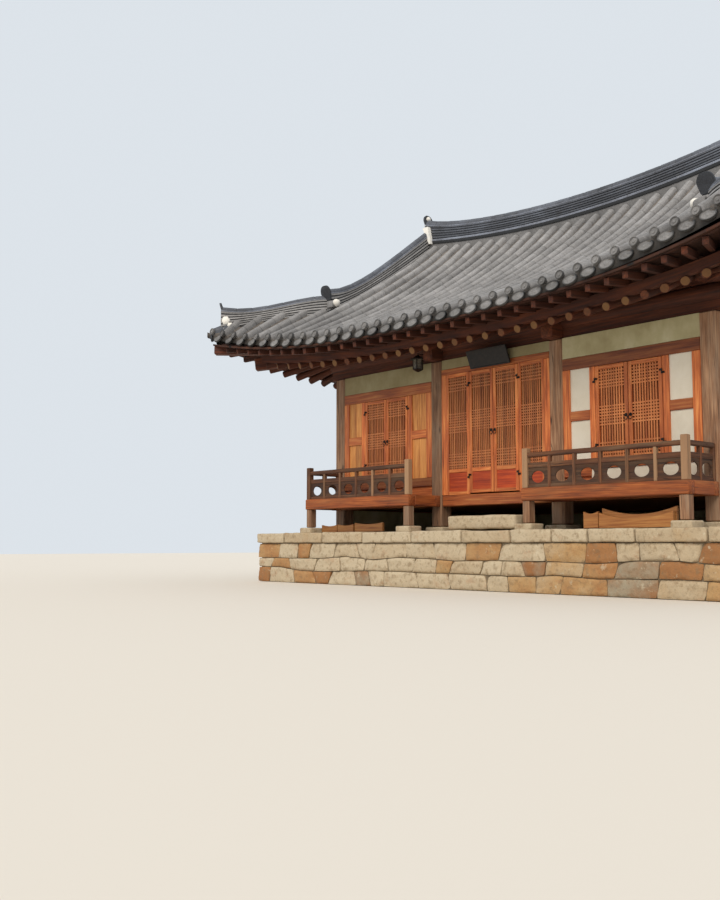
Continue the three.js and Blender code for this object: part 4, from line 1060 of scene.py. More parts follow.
def descendingRidge(parts, feet, lime, flip):
    # Its top line hangs: high at the main ridge, low above the foot, up at the tip. A short roll lies below
    look, end = cornerRidge, gableEnd
    out = np.linspace(roof["ridgeHalf"] - .03, hipTopY + .02, 41)
    share = (out - out[0]) / (out[-1] - out[0])
    line = np.full(41, roof["gable"])
    base = joined(line - end["in"], out, upperSlope(line, out)) * flip
    height = (look["height"] + look["topLift"] * (1 - share) ** 2 - look["sag"] * share ** 2 * (1 - share)
              + look["tipLift"] * share ** 8)
    ridgeStack(parts, feet, feet, base, (1, 0, 0), height, look)
    tip, top = base[-1], height[-1]
    place = tip + [0, flip[1] * end["tileOut"], top - end["tileDown"]]
    standingEnd(parts, place, (0, flip[1]), endTile["lean"], end["size"])
    stub = tip + (np.array(end["stub"]) + [0, 0, top]) * flip
    rollRow(feet, stub, (0, 1, 0), end["stubRadius"], tiles["rollLength"], -.7)
    ball(lime, stub[1] + [0, 0, end["ballUp"]], end["ball"])


hipEnd = {"short": .2, "tileIn": .012, "tileDown": .05, "size": .85,
          "balls": ((.09, .12, .112, 1), (.17, .03, .1, .8))}  # in from the tip, up, radius, flatness
cornerRoll = {"start": .4, "end": .079, "radius": .09, "low": .05,
              "disc": (.09, .115), "discLow": .03, "thick": .03}


def hipRidge(parts, feet, lime, flip):
    # It sags between the gable's foot and its lifted tip; a thick roll runs on from it to the corner
    look, end, roll = cornerRidge, hipEnd, cornerRoll
    share = np.linspace(-.06, 1, 31)
    x = roof["gable"] + (cornerX - end["short"] - roof["gable"]) * share
    base = joined(x, x - diagonal, hipHeight(x)) * flip
    rise = np.maximum(share, 0)
    height = look["hipHeight"] + look["hipTipLift"] * rise ** 3 - look["hipSag"] * rise ** 2 * (1 - rise)
    sideways, away = unit(np.array([[1., -1, 0], [1., 1, 0]])) * flip
    ridgeStack(parts, feet, feet, base, sideways, height, look)
    tip = base[-1]
    place = tip - away * end["tileIn"] + [0, 0, height[-1] - end["tileDown"]]
    standingEnd(parts, place, away[:2], endTile["lean"], end["size"])
    for near, up, radius, flat in end["balls"]:
        ball(lime, tip - away * near + [0, 0, up], radius, flat)
    x = np.linspace(cornerX - roll["start"], cornerX - roll["end"], 5)
    path = joined(x, x - diagonal, hipHeight(x) - roll["low"]) * flip
    rollRow(parts, path, sideways, roll["radius"], tiles["rollLength"], -.2)
    disc = circle(1, 16) * roll["disc"]
    place = path[-1] - [0, 0, roll["discLow"]]
    plates(parts, disc, place, -sideways * flip[0] * flip[1], (0, 0, 1), roll["thick"], -1., boss=.4)


ridgeFeet, ridgeLime = Parts(), Parts()
mainRidge(ridgeFeet, ridgeLime)
cornerRidges(ridgeFeet, ridgeLime)
ridgeFeet.make("ridge_feet", "tile")
ridgeLime.make("ridge_lime", "lime")
print("ridges built")


# Gables: upright boards in a lime seat, and curved barge boards over them


gable = {"boardWidth": .19, "thick": .03, "gap": .004, "lining": .058, "bargeThick": .048, "bargeDrop": .4,
         "bargeBevel": .008, "seatHigh": .09, "seatHalf": .035}


def gableLine(y):
    # The roof line over the gable
    return upperSlope(np.full(len(y), roof["gable"]), np.maximum(np.abs(y), roof["ridgeHalf"]))


def gableTimber(sign, name):
    parts, lime = Parts(), Parts()
    reach = hipTopY - .06
    face = roof["gable"]
    count = round(2 * (reach - .1) / gable["boardWidth"])
    edges = np.linspace(-(reach - .1), reach - .1, count + 1)
    for y0, y1 in zip(edges[:-1] + gable["gap"] / 2, edges[1:] - gable["gap"] / 2):
        boardStrip(parts, sign, (face - gable["thick"], face), y0, y1)
    back = face - .032
    boardStrip(parts, sign, (back - gable["lining"], back), edges[0], edges[-1], 24)
    top = np.linspace(-reach, reach, 61)
    barge = gableLine(top) - .015
    foot = np.minimum(np.maximum(barge - gable["bargeDrop"], skirtTop(top) + .012), barge - .01)
    for half in (slice(0, 31), slice(30, 61)):
        bargeBoard(parts, sign, top[half], barge[half], foot[half])
    y = np.linspace(-reach + .15, reach - .15, 41)
    seat = joined(sign * (face + .02), y, skirtTop(y) - .02)
    course(lime, (seat, (1, 0, 0), gable["seatHalf"]), np.zeros(41), np.full(41, gable["seatHigh"]), 0.)
    parts.make(name + "_boards", "roofTimber", replaces=[name])
    lime.make(name + "_lime_seat", "lime")


def boardStrip(parts, sign, x, y0, y1, cuts=1):
    # An upright board whose top follows the roof line
    y = np.linspace(y0, y1, cuts + 1)
    top = gableLine(y) - .03
    foot = np.minimum(skirtTop(y) - .2, top - .05)
    section = ((x[0], foot), (x[1], foot), (x[1], top), (x[0], top))
    loft(parts, [(sign * x, y, z) for x, z in section], [2, 1, 0], -.3, .4)


def bargeBoard(parts, sign, y, high, low):
    inner, outer = roof["gable"] + .001, roof["gable"] + gable["bargeThick"]
    c = gable["bargeBevel"]
    section = ((inner, low), (outer - c, low), (outer, low + c),
               (outer, high - c), (outer - c, high), (inner, high))
    loft(parts, [(sign * x, y, z) for x, z in section], [1, 2, 0], .1)


gableTimber(1, "right_gable")
gableTimber(-1, "left_gable")


# Eaves: boards over square flying rafters over round rafters, fanned towards the corners


eaves = {
    "radius": .06, "spacing": .3, "fanFrom": (3.0, 1.8), "fanBack": .6, "fanLean": 3.6,
    "flyer": (.075, .09), "flyerSlope": .12, "flyerLap": .12, "overPurlin": 4.0472,
    "batten": {"out": (-.09, -.01), "up": (.064, .2), "reach": 1.02},
    # The edge board's tone darkens it as painted shade under the tile edge
    "edge": {"out": (-.035, .02), "up": (.058, .12), "short": (.2, .55), "tone": -1.5},
    "board": .03, "cornerTrim": .16,
}


def rafterLines(side, level):
    # Straight rafters at one spacing, then a fan on each side that divides what is left to the corner
    fanFrom = eaves["fanFrom"][side % 2]
    count = math.floor(fanFrom / eaves["spacing"] + 1e-6)
    lines = [(i * eaves["spacing"], 0) for i in range(-count, count + 1)]
    corner = halves(side)[0] + level["corner"]
    fans = round((corner - fanFrom) / eaves["spacing"])
    for i in range(1, fans):
        along = fanFrom + (corner - fanFrom) * i / fans
        lines += [(along, 1), (-along, -1)]
    return lines


def eaveTimber(side):
    parts = Parts()
    halfAlong, halfAcross = halves(side)
    lift = roof["hipBoard"] - roof["boardAtPlate"]
    for along, fan in rafterLines(side, levels["rafter"]):
        out, z = eaveLine(levels["rafter"], side, along)
        start = [along, halfAcross, eaves["overPurlin"]]
        if fan:
            centre = fan * (halfAlong - eaves["fanBack"])
            share = eaves["fanBack"] / (out - halfAcross + eaves["fanBack"])
            start[0] = centre + (along - centre) * share
            start[2] += lift * (abs(start[0]) / halfAlong) ** 3
        start, end = at(side, *start), at(side, along, out, z)
        pole(parts, start, end, eaves["radius"], 16, .1, rng.uniform(1.3, 1.9))
    fanFrom = eaves["fanFrom"][side % 2]
    for along, fan in rafterLines(side, levels["flyer"]):
        out, z = eaveLine(levels["flyer"], side, along)
        inward = out - eaveLine(levels["rafter"], side, along)[0] + eaves["flyerLap"]
        lean = fan * inward * (abs(along) - fanFrom) / eaves["fanLean"]
        start = at(side, along - lean, out - inward, z + inward * eaves["flyerSlope"])
        end = at(side, along, out, z)
        bar(parts, start, end, *eaves["flyer"], bevel=.005, tone=-.8, cutEnd=rng.uniform(0, 1))
    eaveBatten(parts, side)
    return parts


def eaveBatten(parts, side):
    # A bent batten on the rafters' ends, and the edge board under the tiles
    for name, level, cuts in (("batten", "rafter", 61), ("edge", "flyer", 81)):
        look = eaves[name]
        reach = look["reach"] if name == "batten" else levels["flyer"]["corner"] - look["short"][side % 2]
        reach += halves(side)[0]
        along = np.linspace(-reach, reach, cuts)
        out, z = eaveLine(levels[level], side, along)
        # The edge board is darkened by its tone, as painted shade
        bent(parts, side, along, [out + value for value in look["out"]], [z + value for value in look["up"]],
             look.get("tone", 0.))


def bent(parts, side, along, out, z, tone):
    # A timber of rectangular section that follows the eave
    rings = np.stack([at(side, along, out[i], z[j]) for i, j in ((0, 0), (1, 0), (1, 1), (0, 1))], 1)
    grain = joined(along[:, None], [0, .08, .08, 0], [0, 0, .1, .1])
    parts.tube(rings, grain + rng.uniform(0, 20, 3), tone)


def boardUnder(side, along, share):
    # Height of the boards' underside: from the flying rafters up to the plate, then up to the ridge
    reach = np.abs(along)
    edge = eaveLine(levels["flyer"], side, reach)[1] + eaves["flyer"][1] / 2 + .014
    wing = edge + (roof["hipBoard"] - edge) * share
    if side % 2 == 0:
        turn = .38  # the plate's share of the way in
        low = roof["boardAtPlate"]
        plate = low + (roof["hipBoard"] - low) * (reach / roof["gable"]) ** 3
        outer = edge + (plate - edge) * share / turn
        inner = plate + (ridgeBase(reach) - .52 - plate) * (share - turn) / (1 - turn)
        return np.where(reach > roof["gable"], wing, np.where(share <= turn, outer, inner))
    low = roof["boardAtPlate"] - .045
    flank = roof["skirt"] - diagonal
    plate = low + (roof["hipBoard"] - low) * np.minimum(reach / flank, 1) ** 3
    return np.where(reach > flank, wing, edge + (plate - edge) * share)


def eaveBoards(side, name):
    parts = Parts()
    reach = halves(side)[0] + levels["tile"]["corner"] - eaves["cornerTrim"]
    for first, last in strips(side):
        first, last = max(first, -reach), min(last, reach)
        along = np.linspace(first, last, max(12, round((last - first) / .16)))
        share = np.linspace(0, 1, 21)[:, None]
        edge = eaveLine(levels["tile"], side, along)[0] - .02
        inner = np.minimum(slopeInner(side, along), edge - .002)
        out = edge - (edge - inner) * share
        spread = np.broadcast_to(along, out.shape)
        bed = slopeHeight(side, spread, out) - roof["bed"] - roof["bedGrowth"] * (edge + .02 - out)
        under = np.minimum(bed - .025, boardUnder(side, spread, np.broadcast_to(share, out.shape)))
        top = np.minimum(under + eaves["board"], bed - .001)
        points, faces = shell(at(side, spread, out, top), at(side, spread, out, under))
        grain = joined(spread, out, under).reshape(-1, 3)
        parts.add(points, faces, np.concatenate([grain, grain]))
    parts.make(name, "soffit", weld=True)


hipRafters = (  # ends: out from the corner column, and height
    {"start": (-.26, 4.1275), "end": (levels["rafter"]["corner"], 3.8975), "size": (.18, .215), "tone": .2},
    {"start": (.3, 4.1375), "end": (levels["flyer"]["corner"], 4.1775), "size": (.18, .165), "tone": .3},
)


def cornerBeams(parts, xSign):
    # Two hip rafters at each corner, one on the other
    for ySign in (-1, 1):
        for look in hipRafters:
            start, end = [(xSign * (house["halfX"] + out), ySign * (house["halfY"] + out), z)
                          for out, z in (look["start"], look["end"])]
            bar(parts, start, end, *look["size"], bevel=.014, cutEnd=1.5, tone=look["tone"])


infill = {"reach": .28, "low": 3.973, "top": (4.25, 4.1697), "inner": .055, "outer": (.055, .185)}


def purlinInfill(parts, side):
    # The filling between the rafters, on the purlin
    halfAlong, halfAcross = halves(side)
    reach = halfAlong + infill["reach"]
    out = halfAcross - infill["inner"], halfAcross + infill["outer"][side % 2]
    beam(parts, side, (-reach, reach), out, (infill["low"], infill["top"][side % 2]), bevel=.003, tone=-.4)


for side, name in enumerate(sideNames):
    timber = eaveTimber(side)
    purlinInfill(timber, side)
    if side % 2:
        cornerBeams(timber, 1 if side == 1 else -1)
    timber.make(name + "_eaves_rafters", "roofTimber", replaces=[name + "_eaves"])
    eaveBoards(side, name + "_eaves_boards")
print("eaves built")


# Columns, plates and purlins


columnTones = {"front_column_1": -.35, "front_column_2": -.8, "front_column_3": .15, "front_column_4": .45,
               "back_left_column": 0., "back_right_column": .2}


def columns():
    for name, tone in columnTones.items():
        low, high = corners(name)
        parts = Parts()
        column(parts, (low + high) / 2, low[2], high[2], tone)
        parts.make(name + "_timber", "old", replaces=[name])


def column(parts, middle, low, high, tone=0.):
    # A hewn post with worn edges
    wide = house["column"]
    ends = [middle[0], middle[1], low], [middle[0], middle[1], high]
    bar(parts, *ends, wide, wide, (0, 1, 0), bevel=.016, cuts=14, tone=tone, vary=.1)


columns()

frameTimber = {"plate": .11, "purlin": .118, "purlinZ": 3.855, "ends": .28, "beamWide": .21, "beamHigh": .24,
               "head": .33}


def roofFrame():
    # Plates and round purlins on all four sides, and two cross beams whose heads show at the front
    look = frameTimber
    parts = Parts()
    top = house["wallTop"] + .0003
    wide = look["plate"] / 2
    for side in range(4):
        halfAlong, halfAcross = halves(side)
        reach = halfAlong + (look["ends"] if side % 2 == 0 else 0)
        out = around(halfAcross, wide)
        beam(parts, side, around(0, reach), out, (top, look["purlinZ"]), bevel=.008, tone=.3)
        start, end = [at(side, along, halfAcross, look["purlinZ"]) for along in (-reach, reach)]
        pole(parts, start, end, look["purlin"], 24, .3, 1.7)
    half = look["beamWide"] / 2
    reach = house["halfY"] + look["head"]
    for x in (-house["bay"] / 2, house["bay"] / 2):
        high = house["wallTop"] + look["beamHigh"]
        beam(parts, 0, around(x, half), around(0, reach), (top, high), bevel=.03, cutEnd=1.3, tone=.2)
    parts.make("roof_frame_timber", "roofTimber", replaces=["roof_frame"])


roofFrame()


# Doors and windows: frames of stiles and rails around a field of thin bars, paper behind


leaf = {
    "thick": .04, "stile": .055, "bars": 9, "barWide": .021, "barFront": .006, "barBack": .022,
    "gap": .006, "meet": .01, "half": .53, "rearHalf": .475, "kickTop": 1.775,
    "sideGroups": ((.07, .3, 6), (.555, .805, 7), (1.075, 1.285, 6)),  # grids up from a side-bay leaf's foot
    "centreGroups": ((.39, .64, 7), (.99, 1.28, 8), (1.65, 1.84, 5)),
}
ironLook = {
    "in": .03, "ring": .03, "ringThick": .0045, "ringZ": 2.36, "pinZ": 2.392, "pin": .009, "plate": .024,
    "barrel": .008, "barrelHigh": .0348, "fromEnd": .23, "strap": .042, "strapZ": (.004, .031),
}
centreLook = {"jamb": .1, "head": 3.35, "lintelTop": 3.445}
sideBays = {"post": .095, "jamb": .125, "mid": (2.38, 2.52), "under": .135, "rail": .035, "deep": .1,
            "split": .47}
clear = house["bay"] - house["column"]  # between two columns
centreLeaf = (clear - 2 * centreLook["jamb"]) / 4  # the centre bay has four leaves
frontFace = house["halfY"] + house["frameFace"]  # the front of the doors' frames
stripOut = frontFace - .07, frontFace - .01  # the plaster over the lintels


def latticeLeaf(timber, bars, paper, side, along, face, z, groups, kick=0., boards=None):
    # Two stiles, two or three rails, a kick board, then upright bars, groups of level bars and paper behind
    look = leaf
    # Painted shade: the bars are darkened, most in the centre bay's leaves and less in leaves that start
    # left of the middle
    paintedBarShade = -.9 if kick else -.6 if along[0] < 0 else 0.  # the bars lie deeper in shade towards the left
    stile = look["stile"]
    back = face - look["thick"]
    left, right = along[0] + stile, along[1] - stile
    field = (left - .01, right + .01)
    for ends in ((along[0], left), (right, along[1])):
        beam(timber, side, ends, (back, face), z, bevel=.004)
    foot, head = z[0] + stile, z[1] - stile
    for low in (head, z[0], kick) if kick else (head, z[0]):
        beam(timber, side, (left, right), (back, face - .001), (low, low + stile), bevel=.003)
    if kick:
        beam(boards, side, field, (back + .012, face - .012), (foot - .01, kick + .01), bevel=.004)
        foot = kick + stile
    rear, front = face - look["barBack"], face - look["barFront"]
    wide = look["barWide"] / 2
    for number in range(1, look["bars"] + 1):
        x = left + (right - left) * number / (look["bars"] + 1)
        beam(bars, side, around(x, wide), (rear, front), (foot, head), bevel=.002, tone=paintedBarShade)
    for low, high, rows in groups:
        for height in np.linspace(z[0] + low, z[0] + high, rows):
            if foot < height < head:
                level = around(height, wide)
                beam(bars, side, (left, right), (rear, front - .001), level, bevel=.002, tone=paintedBarShade)
    beam(paper, side, field, (back + .004, back + .007), (foot - .01, head + .01), bevel=.001)


def knuckles(metal, x, z, towards, lift):
    # Barrels on the hinge line with a strap on the wood
    low, high = ironLook["strapZ"]
    for foot in (z[0] + ironLook["fromEnd"] + lift, z[1] - ironLook["fromEnd"] + lift):
        start, end = (x, -frontFace - .014, foot), (x, -frontFace - .014, foot + ironLook["barrelHigh"])
        pole(metal, start, end, ironLook["barrel"], 12)
        for near, far, out in ((.004, ironLook["strap"], (-.001, .005)), (0, .02, (.004, .017))):
            out = frontFace + out[0], frontFace + out[1]
            beam(metal, 0, mirrored(towards, near, far, x), out, (foot + low, foot + high), bevel=.001)


def leafPieces(name, body, along, z, groups, kick, sign):
    # One hinged leaf of a front pair, with its ring pull. The sign is the side of the pair on which it hangs
    timber, bars, paper, metal, boards = [Parts() for _ in range(5)]
    latticeLeaf(timber, bars, paper, 0, along, frontFace, z, groups, kick, boards)
    meeting, hinge = along if sign > 0 else along[::-1]
    x = meeting + sign * ironLook["in"]
    pin = np.array([x, -frontFace, ironLook["pinZ"]])
    ringHandle(metal, (x, -frontFace - .014, ironLook["ringZ"]), ironLook["ring"], ironLook["ringThick"])
    pole(metal, pin + [0, .004, 0], pin - [0, .018, 0], ironLook["pin"], 8)
    plates(metal, circle(ironLook["plate"], 12), pin - [0, .002, 0], (1, 0, 0), (0, 0, 1), .006)
    knuckles(metal, hinge + sign * .003, z, -sign, .0353)
    timber.make(name + "_frame", "joinery", body, replaces=[name])
    bars.make(name + "_bars", "lattice", body)
    paper.make(name + "_paper", "greyPaper" if kick else "paper", body)
    metal.make(name + "_iron", "iron", body)
    if kick:
        boards.make(name + "_kick_board", "kick", body)


def frontDoors():
    gap = leaf["gap"]
    sidePair = leaf["half"], (house["sill"][1] + gap, house["lintel"][0] - gap), leaf["sideGroups"], 0
    centrePair = (centreLeaf + .003, (house["floor"] + .02, centreLook["head"] - gap), leaf["centreGroups"],
                  leaf["kickTop"])
    for bay, name in ((-1, "left"), (0, "centre"), (1, "right")):
        half, z, groups, kick = sidePair if bay else centrePair
        for number, sign in ((1, -1), (2, 1)):
            ends = mirrored(sign, half - gap, leaf["meet"] / 2, bay * house["bay"])
            leafPieces(f"{name}_bay_door_{number}", f"{name}_leaf_{number}", ends, z, groups, kick, sign)


frontDoors()


def sideBay(bay, name):
    # Frame of one side bay: lintel, sill rail, board under it, posts beside the doors, jambs and mid rails
    timber, fill, strip, metal = [Parts() for _ in range(4)]
    look = sideBays
    x = bay * house["bay"]
    half = clear / 2 - .0003
    whole = around(x, half)
    back = frontFace - look["deep"]
    low, high = house["sill"]
    lintel = house["lintel"]
    field, jamb = leaf["half"] + look["post"], half - look["jamb"]
    foot = house["floor"] - look["under"]
    beam(timber, 0, whole, (back, frontFace), lintel, tone=-1.3 if bay < 0 else -2.1, vary=.1)
    if bay < 0:
        beam(timber, 0, whole, (back, frontFace), (low, high), tone=-2.1, vary=.1)
        beam(timber, 0, whole, (back, frontFace - .03), (foot, low + .01), tone=-.5)
    else:
        rail = high - look["rail"]
        beam(timber, 0, whole, (back, frontFace), (rail, high), tone=-.3)
        beam(timber, 0, (x - half, x - field), (back, frontFace - .002), (low, rail + .005), tone=-.2)
        beam(timber, 0, (x - half, x - field), (back, frontFace - .03), (foot, low + .01), tone=.1)
        beam(fill, 0, (x - field, x + half), (back, frontFace - .02), (foot, rail + .005), bevel=.002)
    for sign in (-1, 1):
        panel = mirrored(sign, field, jamb, x)
        for near, far, tone in ((leaf["half"], field, .35), (jamb, half, .2)):
            post = mirrored(sign, near, far, x)
            beam(timber, 0, post, (back, frontFace - .001), (high, lintel[0]), tone=tone)
        beam(timber, 0, panel, (back, frontFace - .004), look["mid"], tone=-.8 if bay > 0 else -.2)
        for z in ((high, look["mid"][0]), (look["mid"][1], lintel[0])):
            sidePanel(fill, bay, panel, *z)
        opening = high + leaf["gap"], lintel[0] - leaf["gap"]
        knuckles(metal, x + sign * (leaf["half"] - .003), opening, sign, 0.)
    beam(strip, 0, whole, stripOut, (lintel[1] - .01, house["wallTop"]), bevel=.002)
    timber.make(name + "_bay_frame_timber", "joinery", replaces=[name + "_bay_frame"])
    fill.make(name + "_bay_panels", "boards" if bay < 0 else "panel", replaces=[name + "_bay_infill"])
    # The left bay's strip takes the plaster with painted shade
    strip.make(name + "_bay_plaster_strip", "wallShade" if bay < 0 else "wall")
    metal.make(name + "_bay_hinges", "iron")


def sidePanel(fill, bay, along, low, high):
    # Two upright boards in the left bay, one smooth plaster panel in the right
    first, last = along[0] - .01, along[1] + .01
    split = along[0] + (along[1] - along[0]) * sideBays["split"]
    boards = ((first, split - .002), (split + .002, last)) if bay < 0 else ((first, last),)
    bevel = .004 if bay < 0 else .002
    for ends in boards:
        beam(fill, 0, ends, (frontFace - .065, frontFace - .025), (low - .01, high + .01), bevel=bevel)


sideBay(-1, "left")
sideBay(1, "right")


def centreBay():
    # Lintel, sill, jambs and the two outer leaves, which are fixed
    timber, bars, paper, strip, metal, boards = [Parts() for _ in range(6)]
    half = clear / 2 - .0003
    back = frontFace - sideBays["deep"]
    floor, head = house["floor"], centreLook["head"]
    whole = around(0, half)
    beam(timber, 0, whole, (back, frontFace), (head, centreLook["lintelTop"]), tone=-1., vary=.1)
    beam(timber, 0, whole, (back, frontFace), (house["underFloor"], floor), tone=-1.2, vary=.1, bevel=.012)
    for sign in (-1, 1):
        jamb = mirrored(sign, half - centreLook["jamb"], half)
        beam(timber, 0, jamb, (back, frontFace - .001), (floor, head), tone=.3)
        outer = mirrored(sign, centreLeaf + .003, 2 * centreLeaf)
        latticeLeaf(timber, bars, paper, 0, outer, frontFace - .001, (floor, head), leaf["centreGroups"],
                    leaf["kickTop"], boards)
        knuckles(metal, sign * centreLeaf, (floor + .02, head - leaf["gap"]), sign, 0.)
    beam(strip, 0, whole, stripOut, (centreLook["lintelTop"] - .005, house["wallTop"]), bevel=.002)
    timber.make("centre_bay_frame_timber", "joinery", replaces=["centre_bay_frame"])
    bars.make("centre_bay_fixed_bars", "lattice")
    paper.make("centre_bay_fixed_paper", "greyPaper")
    boards.make("centre_bay_fixed_kick_boards", "kick")
    # The strip takes the plaster with painted shade
    strip.make("centre_bay_plaster_strip", "wallShade")
    metal.make("centre_bay_hinges", "iron")


centreBay()
print("front built")


# Side and back walls


wallLook = {"thick": .1, "proud": .012, "sill": .14, "post": .125, "gap": .002}


def wallBay(timber, plaster, bars, paper, side, a0, a1, opening):
    # Plaster between two columns, a ground beam and a lintel, and a pair of leaves where there is an opening
    face = halves(side)[1] + house["wallFace"]
    look = wallLook
    back, front = face - look["thick"], face + look["proud"]
    low, top = house["platformTop"], house["wallTop"]
    start, end = a0 + house["column"] / 2, a1 - house["column"] / 2
    for z in ((house["underFloor"], house["floor"]), house["lintel"]):
        beam(timber, side, (start, end), (back, front), z, tone=-.1)
    if opening is None:
        beam(plaster, side, (start, end), (back, face), (low, top), bevel=.002)
        return
    half, foot = opening
    head = house["lintel"][0]
    middle = (a0 + a1) / 2
    left, right = around(middle, half)
    for along, z in (((start, left), (low, top)), ((right, end), (low, top)), ((left, right), (low, foot)),
                     ((left, right), (head, top))):
        beam(plaster, side, along, (back, face), z, bevel=.002)
    beam(timber, side, (start, end), (back, front + .001), (foot - look["sill"], foot))
    for sign in (-1, 1):
        post = mirrored(sign, half, half + look["post"], middle)
        beam(timber, side, post, (back, front), (house["floor"], head), tone=.2)
        ends = mirrored(sign, look["gap"], half, middle)
        latticeLeaf(timber, bars, paper, side, ends, face - .005, (foot, head), leaf["sideGroups"])


def walls():
    # The back wall has three bays and a pair of doors, each side wall two bays and a window in the rear one
    third = house["bay"] / 2
    window, door = (leaf["rearHalf"], house["sill"][1]), (leaf["rearHalf"], house["floor"])
    for side in (2, 1, 3):
        name = sideNames[side] + "_wall"
        timber, plaster, bars, paper, posts = [Parts() for _ in range(5)]
        halfAlong, halfAcross = halves(side)
        if side == 2:
            bays = ((-halfAlong, -third, None), (-third, third, door), (third, halfAlong, None))
            inner = (-third, third)
        else:
            near, far = (-halfAlong, 0), (0, halfAlong)
            bays = ((*near, None), (*far, window)) if side == 1 else ((*far, None), (*near, window))
            inner = (0,)
        for bay in bays:
            wallBay(timber, plaster, bars, paper, side, *bay)
        for along in inner:
            column(posts, at(side, along, halfAcross, 0), house["platformTop"] + .07, house["wallTop"])
        plaster.make(name + "_plaster", "wall", replaces=[name])
        timber.make(name + "_timber", "joinery")
        bars.make(name + "_bars", "lattice")
        paper.make(name + "_paper", "paper")
        posts.make(name + "_columns", "old")


walls()
print("walls built")


# Decks and railings


deckLook = {"inner": 1.115, "depth": .73, "post": .125, "postIn": .015, "board": .17, "boardThick": .045,
            "edge": .15, "rear": .11, "ends": .12}
railLook = {
    "top": 1.912, "thick": .065, "width": .07, "post": .09, "postTop": 1.975, "inset": .015, "panels": 6,
    "returns": 2, "slat": .048, "board": .022, "panelTop": 1.7, "midTop": 1.77, "holeX": .11, "holeZ": .082,
    "holeHeight": 1.572,
}
deckFace = house["halfY"] + house["wallFace"] + deckLook["depth"]
deckRear = house["halfY"] + house["column"] / 2 + .0003


def farEnd(node):
    # How far from the middle a node reaches
    low, high = corners(node)
    return max(abs(low[0]), abs(high[0]))


def deck(sign, name):
    # A beam on each side, boards that run between them to the back, and two posts under the front beam
    parts, boards, posts = [Parts() for _ in range(3)]
    look = deckLook
    inner, outer = look["inner"], farEnd(name)
    edge, rear = deckFace - look["edge"], deckRear + look["rear"]
    floor, under = house["floor"], house["underFloor"]
    ends = mirrored(sign, inner, outer)
    beam(parts, 0, ends, (edge, deckFace), (under, floor), bevel=.012, tone=.2, cuts=8)
    beam(parts, 0, ends, (deckRear, rear), (under, floor), bevel=.006)
    for near in (inner, outer - look["ends"]):
        beam(parts, 0, mirrored(sign, near, near + look["ends"]), (rear, edge), (under + .003, floor - .001))
    first, last = inner + look["ends"], outer - look["ends"]
    count = round((last - first) / look["board"])
    width = (last - first) / count
    for one in np.linspace(first, last, count + 1)[:-1]:
        beam(boards, 0, mirrored(sign, one + .002, one + width - .002), (rear - .005, edge + .005),
             (floor - look["boardThick"], floor - .002), bevel=.003)
    half = look["post"] / 2
    y = deckFace - half - look["postIn"]
    foot = house["platformTop"] + .0803
    for x in (outer - half - look["postIn"], inner + half + look["postIn"]):
        beam(posts, 0, around(sign * x, half), around(y, half), (foot, under + .002), bevel=.01, cuts=3)
    parts.make(name + "_beams", "deck", replaces=[name])
    boards.make(name + "_boards", "deck")
    posts.make(name + "_posts", "old")


def piercedBoard(parts, side, a0, a1, out, low, high):
    # A board with an oval hole: rays from the middle join the oval to the board's edge, front and back
    middle, height = (a0 + a1) / 2, railLook["holeHeight"]
    halfA = (a1 - a0) / 2
    count = 40
    turn = (np.arange(count) + .5) / count * 2 * np.pi
    for z in (high - height, low - height):
        for angle in (math.atan2(z, halfA), math.atan2(z, -halfA)):
            turn[np.abs(turn - angle % (2 * np.pi)).argmin()] = angle % (2 * np.pi)
    cos, sin = np.cos(turn), np.sin(turn)
    halfZ = np.where(sin > 0, high - height, height - low)
    reach = np.minimum(halfA / np.maximum(np.abs(cos), 1e-6), halfZ / np.maximum(np.abs(sin), 1e-6))
    thick = railLook["board"] / 2
    oval = railLook["holeX"] * cos, railLook["holeZ"] * sin
    wider = oval[0] / .94, oval[1] / .94
    edge = reach * cos, reach * sin
    sections = ((*oval, -thick * .6), (*oval, thick * .6), (*wider, thick), (*edge, thick), (*edge, -thick),
                (*wider, -thick))
    rings = np.stack([at(side, middle + a, out + o, height + z) for a, z, o in sections], 1)
    grain = np.stack([joined(a, z, o) for a, z, o in sections], 1)
    grain = grain + rng.uniform(0, 30, 3)
    # Painted shade: the pierced boards are darkened, as they lie back between the posts
    parts.tube(rings, grain, rng.uniform(-1.4, -.9), True)


def railRun(parts, side, a0, a1, out, panels, posted):
    # Hand rail, mid rail and foot rail, with slats and pierced boards between them, and posts at the corners
    floor = house["floor"] + .0003
    half = railLook["width"] / 2
    pitch = (a1 - a0) / panels
    ends = sorted((a0, a1))
    hand = railLook["top"] - railLook["thick"], railLook["top"]
    beam(parts, side, ends, around(out, half), hand, bevel=.012, cuts=6)
    beam(parts, side, ends, around(out, .02), (railLook["panelTop"], railLook["midTop"]), bevel=.005)
    beam(parts, side, ends, around(out, .022), (floor, floor + .045), bevel=.005)
    for number in range(1 - posted, panels + 1):
        corner = posted and number in (0, panels)
        wide = railLook["post"] / 2 if corner else railLook["slat"] / 2
        centre = a0 + number * pitch
        top = railLook["postTop"] if corner else railLook["top"] - .005
        thick = wide if corner else .028
        tone = (.3 if number and a0 < 0 else 1.9) if corner else 1.1
        beam(parts, side, around(centre, wide), around(out, thick), (floor - .0005, top), tone=tone)
    for number in range(panels):
        span = sorted((a0 + number * pitch, a0 + (number + 1) * pitch))
        piercedBoard(parts, side, span[0], span[1], out, floor + .04, railLook["panelTop"] + .004)


